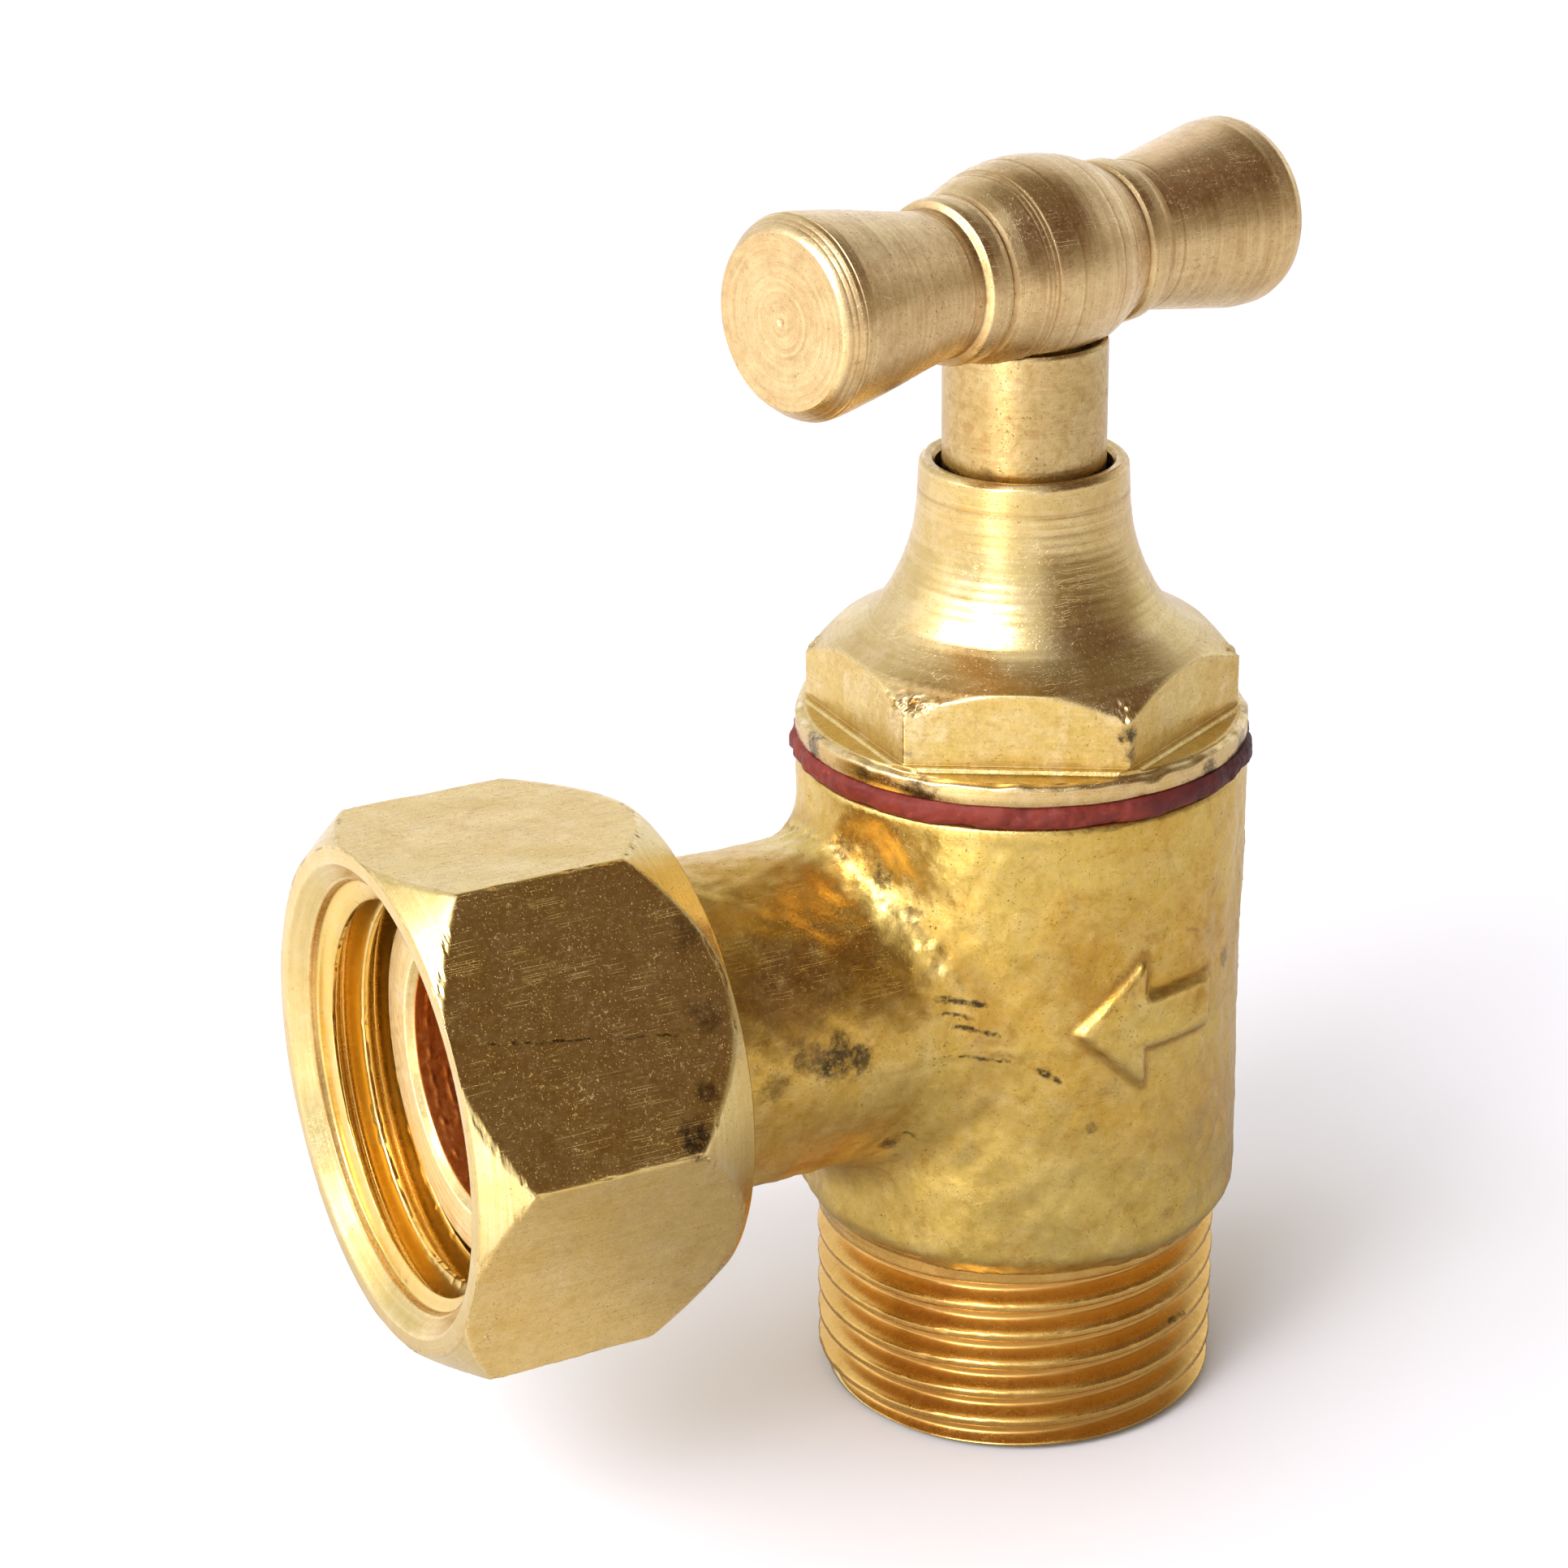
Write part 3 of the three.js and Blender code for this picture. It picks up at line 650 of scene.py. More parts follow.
# ------------------------------------------------------------ fibre and rubber
def matt(name, base, other, rough, scale, relief, painted_side_shade=None):
    """Mottled matt material; the last argument paints shade on one side: (direction, start,
    end, colour) across the valve.
    """
    material, net = new_material(name)
    position = net.position()
    broad = net.noise(position, scale=scale * 0.25, detail=4.0, rough=0.65, warp=0.5)
    fine = net.noise(position, scale=scale, detail=5.0, rough=0.7)
    colour = net.mix(net.remap(broad, low=0.36, high=0.66), base, other)
    light = tuple(min(1, channel * 1.9 + 0.03) for channel in base)
    colour = net.tint(colour, light, net.remap(fine, low=0.58, high=0.72), amount=0.45)
    dark = tuple(channel * 0.25 for channel in base)
    colour = net.tint(colour, dark, net.remap(fine, low=0.44, high=0.30), amount=0.6)
    # painted shade: darker towards one side of the valve
    if painted_side_shade is not None:
        direction, start, end, tone = painted_side_shade
        centred = net.vector("ADD", position, (-AXIS_X, 0, 0))
        across = net.vector("DOT_PRODUCT", centred, direction)
        across = net.plus(across, net.times(broad, 5.0))
        colour = net.tint(colour, tone, net.remap(across, start, end), amount=0.85)
    height = net.plus(net.times(fine, 0.6), net.times(broad, 0.6))
    shader = net.add("ShaderNodeBsdfPrincipled", {
        "Metallic": 0.0, "Specular IOR Level": 0.22, "Base Color": colour,
        "Normal": net.bump(height, distance=relief, strength=0.7),
        "Roughness": net.remap(fine, 0.3, 0.7, to_low=rough * 0.85,
                               to_high=min(1.0, rough * 1.15), smooth=False)})
    net.add("ShaderNodeOutputMaterial", {"Surface": shader.outputs[0]})
    return material


# ------------------------------------------------------------ materials
GOLD_WARM = (0.58, 0.335, 0.055)
TAN_WARM = (0.62, 0.405, 0.17)
PALE = (0.80, 0.64, 0.36)
UMBER = (0.05, 0.034, 0.018)
SOOT = (0.085, 0.055, 0.028)

# spots: x, y, z, radius, colour, strength, noise scale of the outline
BODY_SPOTS = (
    (-11.9, -6.6, 19.5, 1.15, UMBER, 0.95, 1.1), (-10.9, -6.5, 19.3, 0.8, UMBER, 0.85, 2.0),
    (-13.2, -6.5, 19.7, 0.85, SOOT, 0.8, 1.7), (-14.6, -6.5, 18.9, 0.8, SOOT, 0.6, 2.0),
    (-13.4, -5.8, 22.0, 2.6, (0.36, 0.19, 0.07), 0.6, 0.6),
    (-12.2, -5.6, 15.2, 2.6, (0.50, 0.28, 0.07), 0.55, 0.6),
    (-3.0, -8.4, 12.0, 3.2, (0.70, 0.55, 0.18), 0.4, 0.4),
    (4.0, -8.0, 14.0, 4.0, (0.52, 0.34, 0.11), 0.5, 0.35),
    (6.5, -6.3, 20.0, 4.2, (0.50, 0.32, 0.10), 0.5, 0.35),
    (-10.4, -5.0, 22.9, 1.3, (0.36, 0.19, 0.05), 0.5, 0.9),
    (-11.0, -2.9, 24.6, 3.2, (0.62, 0.31, 0.05), 0.6, 0.5),
    (-8.9, -5.0, 14.4, 0.55, SOOT, 0.8, 2.6), (-8.0, -4.5, 13.8, 0.45, SOOT, 0.7, 2.6),
    (-8.5, -3.7, 25.05, 0.6, UMBER, 0.85, 3.4), (-9.1, -2.0, 25.65, 0.6, UMBER, 0.8, 3.4),
    (-7.8, -5.05, 24.0, 0.45, UMBER, 0.7, 3.6), (5.2, -7.4, 20.2, 0.55, SOOT, 0.55, 2.4),
    (-1.9, -8.9, 15.0, 0.35, SOOT, 0.6, 2.4))
THREAD_SPOTS = (
    (-7.2, -4.1, 2.2, 2.0, (0.50, 0.25, 0.06), 0.55, 0.35),
    (-7.2, -4.1, 5.2, 2.2, (0.48, 0.24, 0.06), 0.6, 0.35),
    (-6.6, -5.0, 7.6, 1.5, (0.46, 0.23, 0.06), 0.55, 0.45))
BONNET_SPOTS = (
    (-7.5, -5.0, 28.95, 0.85, SOOT, 0.9, 2.2), (-8.97, 0.8, 29.2, 0.75, UMBER, 0.85, 2.4),
    (-8.6, -2.6, 29.1, 0.5, UMBER, 0.6, 2.8), (3.5, -8.3, 28.85, 0.6, UMBER, 0.8, 2.6),
    (6.0, -6.7, 29.0, 0.7, UMBER, 0.75, 2.4), (7.6, -4.9, 29.2, 0.7, SOOT, 0.6, 2.4))
BONNET_HEX_SPOTS = (
    (-0.35, -8.5, 31.15, 0.50, UMBER, 0.95, 2.2), (-0.3, -8.5, 30.4, 0.38, SOOT, 0.8, 2.8),
    (-7.7, -4.8, 29.0, 0.75, SOOT, 0.85, 2.2), (-7.4, -4.0, 30.3, 0.35, SOOT, 0.5, 3.0),
    (8.0, -3.6, 29.3, 0.8, SOOT, 0.5, 2.2))
# the first handle spot is a painted highlight, a pale patch on the far cone's top; the second a
# brown patch on the hub
HANDLE_HIGHLIGHT_AND_SPOTS = (
    (7.8, 1.0, 50.9, 3.0, (0.86, 0.60, 0.34), 0.85, 0.4),
    (-1.0, -2.0, 50.6, 2.0, (0.62, 0.40, 0.17), 0.5, 0.5))
NUT_SPOTS = (
    (-20.0, -10.9, 20.0, 0.9, (0.045, 0.028, 0.022), 0.85, 1.6),
    (-19.2, -10.0, 21.3, 0.55, (0.06, 0.035, 0.025), 0.7, 2.2),
    (-18.4, -8.6, 23.6, 0.9, (0.08, 0.045, 0.03), 0.5, 1.6),
    (-18.3, -6.8, 26.2, 0.9, (0.08, 0.045, 0.03), 0.5, 1.6))
# strokes: start x, y, z, end x, y, z, half width, colour, strength
BODY_STROKES = (
    (-7.5, -6.4, 20.9, -5.8, -7.2, 20.55, 0.20, UMBER, 0.95),
    (-7.3, -6.6, 20.3, -6.2, -7.05, 19.97, 0.14, SOOT, 0.9),
    (-6.9, -6.8, 19.7, -5.35, -7.48, 19.25, 0.16, UMBER, 0.95),
    (-6.7, -6.9, 18.4, -4.9, -7.7, 18.1, 0.10, SOOT, 0.9),
    (-8.4, -5.5, 14.9, -7.3, -5.8, 13.9, 0.16, SOOT, 0.8),
    (-4.0, -8.2, 17.7, -3.2, -8.45, 17.2, 0.20, UMBER, 0.95),
    (-3.4, -8.3, 12.6, -0.6, -9.0, 12.9, 0.07, (0.30, 0.17, 0.06), 0.6),
    (2.4, -8.7, 22.6, 4.0, -8.1, 21.9, 0.10, SOOT, 0.5))
THREAD_STROKES = (
    (4.6, -6.9, 6.2, 5.8, -5.9, 6.0, 0.30, SOOT, 0.8),
    (2.4, -7.9, 4.4, 3.8, -7.3, 4.3, 0.16, SOOT, 0.8),
    (-4.4, -7.0, 5.7, -3.2, -7.6, 5.6, 0.10, SOOT, 0.6))
NUT_STROKES = (
    (-26.87, -8.11, 24.17, -24.23, -8.32, 23.86, 0.09, UMBER, 0.9),
    (-24.2, -8.32, 23.86, -19.7, -8.77, 23.2, 0.08, UMBER, 0.8))

FORGED = brass(
    "brass_forged", seed=1, base=(0.66, 0.47, 0.12), warm=GOLD_WARM, pale=(0.70, 0.53, 0.20),
    rough=0.31, grain=1.3, pits=1.25, stains=0.9, scratch=0.9, warmth=0.8, mottle=0.42,
    patina=0.8, spots=BODY_SPOTS, strokes=BODY_STROKES)
THREAD = brass(
    "brass_thread", seed=2, base=(0.71, 0.43, 0.115), warm=(0.64, 0.35, 0.07),
    pale=(0.84, 0.55, 0.18), rough=0.26, turn=0.3, line_rate=3.0, grain=0.25, pits=0.35,
    stains=0.35, scratch=0.3, hollow=(0.82, 0.49, 0.14), mottle=0.12, patina=0.35,
    spots=THREAD_SPOTS, strokes=THREAD_STROKES)
BONNET = brass(
    "brass_bonnet", seed=3, base=(0.65, 0.485, 0.185), warm=TAN_WARM, pale=PALE, rough=0.24,
    turn=0.62, line_rate=7.0, grain=0.35, pits=0.8, stains=0.45, scratch=1.0, aniso=0.3,
    mottle=0.25, patina=0.3, spots=BONNET_SPOTS)
BONNET_HEX = brass(
    "brass_bonnet_hex", seed=4, base=(0.70, 0.52, 0.17), warm=GOLD_WARM, pale=PALE,
    rough=0.28, grain=0.8, pits=1.1, stains=0.6, scratch=0.8, drawn=(0.5, 0.5, 7.0),
    mottle=0.6, patina=0.5, spots=BONNET_HEX_SPOTS)
HANDLE = brass(
    "brass_handle", seed=5, base=(0.74, 0.535, 0.27), warm=TAN_WARM, pale=(0.80, 0.64, 0.33),
    rough=0.27, turn=1.0, line_rate=6.0, grain=0.7, pits=1.2, stains=0.8, scratch=0.9,
    aniso=0.45, mottle=0.45, patina=0.7, spots=HANDLE_HIGHLIGHT_AND_SPOTS)
SPINDLE = brass(
    "brass_spindle", seed=6, base=(0.54, 0.40, 0.155), warm=TAN_WARM, pale=(0.62, 0.48, 0.24),
    rough=0.28, turn=0.7, line_rate=8.0, grain=0.9, pits=1.2, stains=0.5, scratch=0.6,
    aniso=0.35, mottle=0.6, patina=0.5)
NUT = brass(
    "brass_nut", seed=7, base=(0.67, 0.485, 0.165), warm=(0.62, 0.40, 0.09),
    pale=(0.72, 0.55, 0.25), rough=0.24, grain=0.7, pits=0.95, stains=0.5, scratch=0.6,
    drawn=(0.30, 5.5, 5.5), mottle=0.35, glint=0.9, patina=0.5, spots=NUT_SPOTS,
    strokes=NUT_STROKES)
NUT_TURNED = brass(
    "brass_nut_turned", seed=8, base=(0.72, 0.55, 0.21), warm=(0.66, 0.46, 0.13),
    pale=(0.80, 0.65, 0.36), rough=0.22, turn=0.8, line_rate=6.0, grain=0.3, pits=0.6,
    stains=0.35, scratch=0.3, hollow=(0.50, 0.25, 0.045), mottle=0.2, patina=0.2)
NUT_THREAD = brass(
    "brass_nut_thread", seed=18, base=(0.80, 0.57, 0.16), warm=(0.74, 0.49, 0.11),
    pale=(0.80, 0.62, 0.30), rough=0.18, turn=0.3, line_rate=3.0, grain=0.08, pits=0.25,
    stains=0.2, scratch=0.1, hollow=(0.80, 0.50, 0.12), mottle=0.06, patina=0.1)
# painted light: a paler brass for the tail's end face, standing in for light the nut's interior
# keeps from it
TAIL_FACE_PAINTED_LIGHT = brass(
    "brass_tail_face_painted_light", seed=28, base=(0.92, 0.76, 0.42), warm=(0.88, 0.68, 0.30),
    pale=(0.96, 0.86, 0.60), rough=0.62, turn=1.0, line_rate=7.0, grain=0.3, pits=0.4,
    stains=0.3, scratch=0.3, mottle=0.2, patina=0.2)
BORE = brass(
    "brass_bore", seed=9, base=(0.78, 0.31, 0.07), warm=(0.72, 0.26, 0.05),
    pale=(0.84, 0.40, 0.11), rough=0.38, turn=1.0, line_rate=3.0, grain=0.6, pits=0.3,
    stains=0.4, scratch=0.1, dirt_and_shade=0.0, glint=0.8)
# painted shade: the gasket darkens towards its +X, -Y side
FIBRE = matt("red_fibre", base=(0.225, 0.033, 0.017), other=(0.145, 0.020, 0.012),
             rough=0.55, scale=3.0, relief=0.00004,
             painted_side_shade=((0.80, -0.30, 0.0), 2.0, 10.5, (0.045, 0.013, 0.016)))
RUBBER = matt("black_rubber", base=(0.022, 0.021, 0.02), other=(0.035, 0.032, 0.03),
              rough=0.6, scale=2.5, relief=0.00003)


# ------------------------------------------------------------ handle
# radius, place along the bar[, fillet]; the positive end is towards -X
BAR_OUTLINE = [
    (0.0, -11.86), (3.44, -11.86, 0.10), (3.66, -11.70, 0.15), (3.79, -11.32, 0.3),
    (3.77, -10.5, 1.0), (3.60, -9.5, 3), (3.36, -8.0, 5), (3.20, -7.1, 5), (3.04, -6.1, 4),
    (2.90, -5.25, 0.25), (2.92, -5.02, 0.10), (3.10, -4.84, 0.10), (3.20, -4.62, 0.12),
    (3.22, -4.2, 0.8), (3.19, -3.86, 0.12), (3.07, -3.70, 0.06), (3.12, -3.55, 0.1),
    (3.30, -3.15, 1.2), (3.58, -2.55, 2), (3.80, -1.95, 2), (3.96, -1.2, 2), (4.06, -0.4, 2),
    (4.09, 0.15, 3), (4.06, 0.7, 2), (3.97, 1.3, 2), (3.83, 1.9, 2), (3.64, 2.5, 2),
    (3.43, 3.08, 1.2), (3.20, 3.52, 0.1), (3.07, 3.70, 0.06), (3.16, 3.84, 0.08),
    (3.20, 4.1, 0.6), (3.19, 4.55, 0.6), (3.13, 4.80, 0.10), (2.86, 4.96, 0.10),
    (2.82, 5.2, 0.25), (2.95, 6.1, 4), (3.10, 7.0, 5), (3.27, 7.9, 5), (3.44, 8.8, 4),
    (3.60, 9.7, 3), (3.75, 10.6, 1.5), (3.86, 11.35, 0.4), (3.875, 11.78, 0.10),
    (3.80, 11.98, 0.12), (3.46, 12.47, 0.7), (3.30, 12.60, 0.06), (0.0, 12.60)]
BAR_FINE_ZONES = [(0.5, 2.7, 0, 9), (11.5, 12.6, 3, 9), (-3.6, -1.0, 0, 9),
                  (-6.0, -5.3, 0, 9), (5.2, 5.8, 0, 9)]
# turned grooves: place, width, depth
BAR_GROOVES = (
    (2.02, 0.05, 0.030), (2.20, 0.045, 0.022), (2.40, 0.05, 0.016), (0.9, 0.06, 0.008),
    (11.84, 0.035, 0.030), (12.12, 0.035, 0.012), (12.30, 0.03, 0.010), (-2.4, 0.05, 0.012),
    (-1.4, 0.06, 0.008), (-5.7, 0.05, 0.010), (5.5, 0.05, 0.010))
# dirt in the necks of the outline: place, width, strength
BAR_DIRT = ((5.02, 0.16, 0.75), (3.68, 0.10, 0.8), (-3.68, 0.10, 0.7), (-5.12, 0.14, 0.6))
BAR_END, BAR_FACE_RADIUS = 12.60, 3.24


def bar_face(run_start):
    """Concentric tool rings and a centre dimple on the bar's -X end."""
    radius = np.maximum(np.arange(BAR_FACE_RADIUS, -0.001, -0.035), 0.0)
    swell = 0.4 + 0.6 * np.sin(radius * 3.1 + 1) ** 2
    z = (BAR_END - 0.009 * (1 + np.sin(radius * 21.0)) * swell
         - 0.020 * hump(radius - 1.12, 0.05) - 0.010 * hump(radius - 1.95, 0.04)
         - 0.05 * hump(radius, 0.12) + 0.02 * hump(radius - 0.22, 0.08))
    # pale rings on the face, painted as wear and painted highlight
    wear_and_highlight = (0.15 + 0.5 * hump(radius - 0.22, 0.1)
            + 0.7 * np.maximum(0.0, np.sin(radius * 21.0 + 0.6)) ** 6 * swell
            + 0.8 * hump(radius - 1.19, 0.03))
    run = run_start + BAR_FACE_RADIUS - radius
    cavity = 0.8 * hump(radius, 0.10)
    radius[-1] = 0.0
    return np.array([radius, z, wear_and_highlight, run, cavity])


def cut_spindle_hole(piece, radius=3.36, bottom=40.0, top=44.90, count=160):
    """Cuts a hole on the valve axis into the underside, for the spindle's end."""
    theta = circle_angles(count)
    rings = [np.stack([radius * np.cos(theta), radius * np.sin(theta), np.full(count, z)], -1)
             for z in (bottom, top)]
    points = np.concatenate([*rings, [[0, 0, bottom], [0, 0, top]]])
    faces = []
    for j in range(count):
        k = (j + 1) % count
        faces += [(j, k, count + k, count + j), (2 * count, k, j),
                  (2 * count + 1, count + j, count + k)]
    points = (points + np.array([AXIS_X, 0, 0])) * 1e-3
    mesh = bpy.data.meshes.new("cutter")
    mesh.from_pydata([tuple(point) for point in points], [], faces)
    mesh.update()
    cutter = bpy.data.objects.new("cutter", mesh)
    bpy.context.scene.collection.objects.link(cutter)
    cut = piece.modifiers.new("cut", "BOOLEAN")
    cut.operation = "DIFFERENCE"
    cut.object = cutter
    cut.solver = "MANIFOLD"
    bpy.context.view_layer.update()
    graph = bpy.context.evaluated_depsgraph_get()
    result = bpy.data.meshes.new_from_object(piece.evaluated_get(graph),
                                             preserve_all_data_layers=True, depsgraph=graph)
    piece.modifiers.clear()
    if len(result.polygons) > 100:              # a failed boolean leaves the bar whole
        piece.data = result
    bpy.data.objects.remove(cutter)
    bpy.data.meshes.remove(mesh)


def build_handle():
    outline = refine(profile(BAR_OUTLINE, step=0.16, arc=6), BAR_FINE_ZONES, step=0.028)
    radius, z, wear_and_highlight, run = outline
    cavity = np.zeros(len(radius))
    for place, width, depth in BAR_GROOVES:
        groove = hump(z - place, width)
        radius = np.where(radius > 2.6, radius - depth * groove, radius)
        cavity = np.maximum(cavity, 0.5 * groove)
        wear_and_highlight = np.maximum(wear_and_highlight, 0.5 * hump(z - place - 2 * width, width))
    for place, width, strength in BAR_DIRT:
        cavity = np.maximum(cavity, strength * hump(z - place, width))
    side = np.array([radius, z, wear_and_highlight, run, cavity])[:, z <= BAR_END - 0.005]
    radius, z, wear_and_highlight, run, cavity = np.hstack([side, bar_face(side[3, -1])])
    theta = circle_angles(300)
    radius, z = radius[:, None], z[:, None]
    radius = radius + noise_at(Waves(11, 6.0), radius, theta, z) * 0.012 * (radius > 2.5)
    cosine, sine = math.cos(BAR_TURN), math.sin(BAR_TURN)
    swing = np.array([[cosine, -sine, 0], [sine, cosine, 0], [0, 0, 1]])
    bar = loft("t_handle_bar", radius, z, wear_and_highlight, run, theta, cavity=cavity,
               tilt=swing @ TO_OUTLET, lift=BAR_Z, materials=[HANDLE],
               body="spindle_and_handle", node="t_handle", slot="brass_turned")
    cut_spindle_hole(bar)


# ------------------------------------------------------------ spindle
def build_spindle():
    corners = [(0.0, 28.0), (2.3, 28.0, 0.1), (2.3, 22.66, 0.1), (3.85, 22.66, 0.1),
               (4.35, 23.16, 0.1), (4.35, 31.9, 0.1), (3.95, 32.3, 0.1), (3.22, 32.3, 0.1)]
    for seal in SEAL_HEIGHTS.values():
        corners += [(3.22, seal - 0.65, 0.06), (2.36, seal - 0.65, 0.06),
                    (2.36, seal + 0.65, 0.06), (3.22, seal + 0.65, 0.06)]
    corners += [(3.22, 44.60, 0.0), (3.16, 44.72, 0.0), (2.2, 44.72, 0.0), (2.2, 47.4, 0.1),
                (0.0, 47.4)]
    outline = refine(profile(corners, step=0.2, arc=3), [(39.6, 44.7, 3.0, 3.3)], step=0.06)
    radius, z, wear_and_highlight, run = outline
    theta = circle_angles(220)
    radius, z = radius[:, None], z[:, None]
    # pits on the upper shaft
    pits = np.clip(noise_at(Waves(21, 1.1), radius, theta, z) * 0.6
                   + noise_at(Waves(22, 0.45), radius, theta, z) * 0.7 - 0.75, 0, 1)
    pits = pits * ((z > 39.6) & (radius > 3.0))
    radius = radius - pits * 0.008
    # coarse thread on the lower part
    threaded = (z > 23.2) & (z < 31.8) & (radius > 4.2)
    radius = np.where(threaded, 4.35 - 0.55 * thread_wave(z, theta, pitch=1.5), radius)
    loft("spindle_shaft", radius, z, wear_and_highlight, run, theta, cavity=np.clip(pits * 0.5, 0, 0.35),
         materials=[SPINDLE], body="spindle_and_handle", node="spindle", slot="brass_turned")


def build_orings():
    around = circle_angles(28)
    for node, seal in SEAL_HEIGHTS.items():
        loft(node + "_ring", 2.9 + 0.5 * np.cos(around), seal + 0.5 * np.sin(around), 0.0,
             around * 0.5, circle_angles(120), closed=True, materials=[RUBBER],
             body="spindle_and_handle", node=node, slot="seal_rubber")


# ------------------------------------------------------------ closing member
JUMPER_OUTLINE = [
    (0.0, 17.05), (1.05, 17.05, 0.05), (1.3, 17.3, 0.05), (1.3, 21.02, 0.05),
    (5.2, 21.02, 0.08), (5.5, 21.32, 0.08), (5.5, 22.3, 0.08), (5.2, 22.6, 0.08),
    (2.05, 22.6, 0.1), (2.05, 27.0, 0.08), (1.65, 27.4, 0.08), (0.0, 27.4)]
WASHER_OUTLINE = [
    (1.55, 19.05, 0.1), (1.75, 19.05, 0.1), (4.9, 19.05, 0.1), (5.1, 19.25, 0.1),
    (5.1, 20.8, 0.1), (4.95, 21.0, 0.1), (1.6, 21.0, 0.1), (1.55, 20.9, 0.05)]
# radius, height
WASHER_NUT_RINGS = [
    (1.5, 17.51), (1.7, 17.51), (1.9, 17.51), (2.1, 17.6), (2.35, 17.75), (2.4, 18.1),
    (2.4, 18.6), (2.35, 18.85), (2.1, 18.98), (1.9, 19.01), (1.5, 19.01)]


def build_closing_member():
    theta = circle_angles(160)
    loft("jumper_disc", *profile(JUMPER_OUTLINE, step=0.25, arc=3), theta,
         materials=[SPINDLE], body="closing_member", node="jumper", slot="brass_turned")
    loft("seat_washer_ring", *profile(WASHER_OUTLINE, step=0.25, arc=3), theta, closed=True,
         materials=[RUBBER], body="closing_member", node="seat_washer", slot="seal_rubber")
    theta = hex_angles(120, turn=0.0, corner_span=0.08, extra=10)
    flat, edge = hex_outline(theta, flats=4.0, turn=0.0, corner_radius=0.1)
    radius, z = np.array(WASHER_NUT_RINGS).T
    radius = radius[:, None]
    loft("seat_washer_nut_hex", smooth_min(radius, flat, 0.06), z,
         edge * (radius > 1.8) * 0.6, np.arange(len(z)) * 0.2, theta, closed=True,
         materials=[BONNET_HEX], body="closing_member", node="seat_washer_nut",
         slot="brass_turned")


# ------------------------------------------------------------ gasket
def build_gasket():
    low, high = GASKET_LOW, GASKET_HIGH
    corners = [(7.75, low + 0.02, 0.05), (9.0, low, 0.1), (9.19, low + 0.20, 0.25),
               (9.21, (low + high) / 2, 0.4), (9.19, high - 0.20, 0.25), (9.0, high, 0.1),
               (7.75, high - 0.02, 0.05)]
    radius, z, _, run = profile(corners, step=0.09, arc=4)
    theta = circle_angles(520)
    radius, z = radius[:, None], z[:, None]
    ragged = (noise_at(Waves(31, 3.0), radius, theta, z) * 0.05
              + noise_at(Waves(32, 0.7), radius, theta, z) * 0.022)
    radius = np.minimum(radius + np.where(radius > 8.9, ragged - 0.03, 0), 9.287)
    loft("bonnet_gasket_ring", radius, z, 0.0, run, theta, closed=True, materials=[FIBRE],
         body="valve", node="bonnet_gasket", slot="gasket_fibre")


# ------------------------------------------------------------ bonnet
# radius, height[, fillet]: down the cone, up the bell, over the rim and down inside
BELL_OUTLINE = [
    (9.6, 30.80), (8.62, 31.66, 0), (7.50, 32.66, 0), (7.44, 32.70, 1.0), (6.9, 32.98, 2.5),
    (6.34, 33.33, 3), (5.75, 33.80, 3), (5.28, 34.55, 3), (4.86, 35.4, 3), (4.56, 36.2, 4),
    (4.33, 37.05, 4), (4.19, 38.1, 4), (4.135, 39.3, 0.6), (4.12, 39.72, 0.22),
    (3.92, 39.96, 0.16), (3.62, 39.90, 0.10), (3.47, 39.70, 0.08), (3.47, 34.0, 0.2),
    (3.47, 32.6, 0.1), (4.6, 32.3, 0.1), (4.6, 24.7, 0.1), (5.0, 24.3, 0.1), (7.0, 24.3, 0.1),
    (7.5, 24.8, 0.1), (7.5, 28.40, 0.05), (7.3, 28.55, 0.05), (7.5, 28.74, 0.05),
    (8.98, 28.74, 0.06)]
# radius, height, wear and painted highlight
FLANGE_SIDE = ((9.0, 28.76, 0.5), (9.03, 28.82, 0.3), (9.03, 29.1, 0.0), (9.03, 29.35, 0.1))
FLANGE_EDGE = ((9.02, 29.44, 0.6), (8.98, 29.50, 0.9), (8.90, 29.545, 1.0),
               (8.80, 29.575, 0.6), (8.72, 29.60, 0.3))
# up the flats: share of the height, cavity
FLAT_RINGS = ((0.03, 0.45), (0.08, 0.25), (0.16, 0.1), (0.3, 0), (0.5, 0), (0.7, 0), (0.9, 0))
# bruised hexagon corners: angle in degrees, strength, angular width
BRUISES = ((-150.3, 1.0, 0.19), (-92.3, 0.35, 0.05), (-32.3, 0.3, 0.06), (147.7, 0.3, 0.06))
# floor height of the milled ledge beside each flat
LEDGE_FLOORS = np.array([0.0, 0.05, 0.0, 0.06, -0.01, 0.05])
LEDGE_TOP = 0.17


def ledge_height(radius, theta):
    """Height of the flange's top, milled lower outside each flat."""
    angles = [BONNET_TURN + side * math.pi / 3 for side in range(6)]
    normals = np.array([[math.cos(angle), math.sin(angle)] for angle in angles])
    points = np.stack([radius * np.cos(theta), radius * np.sin(theta)], -1)
    outside = points @ normals.T - BONNET_FLATS / 2
    milled = LEDGE_TOP - (LEDGE_TOP - LEDGE_FLOORS) * ease(0.24, 0.31, outside)
    height = np.where(outside > -0.02, milled, 9.0).min(1)
    return np.where(height > 5, LEDGE_TOP, height)


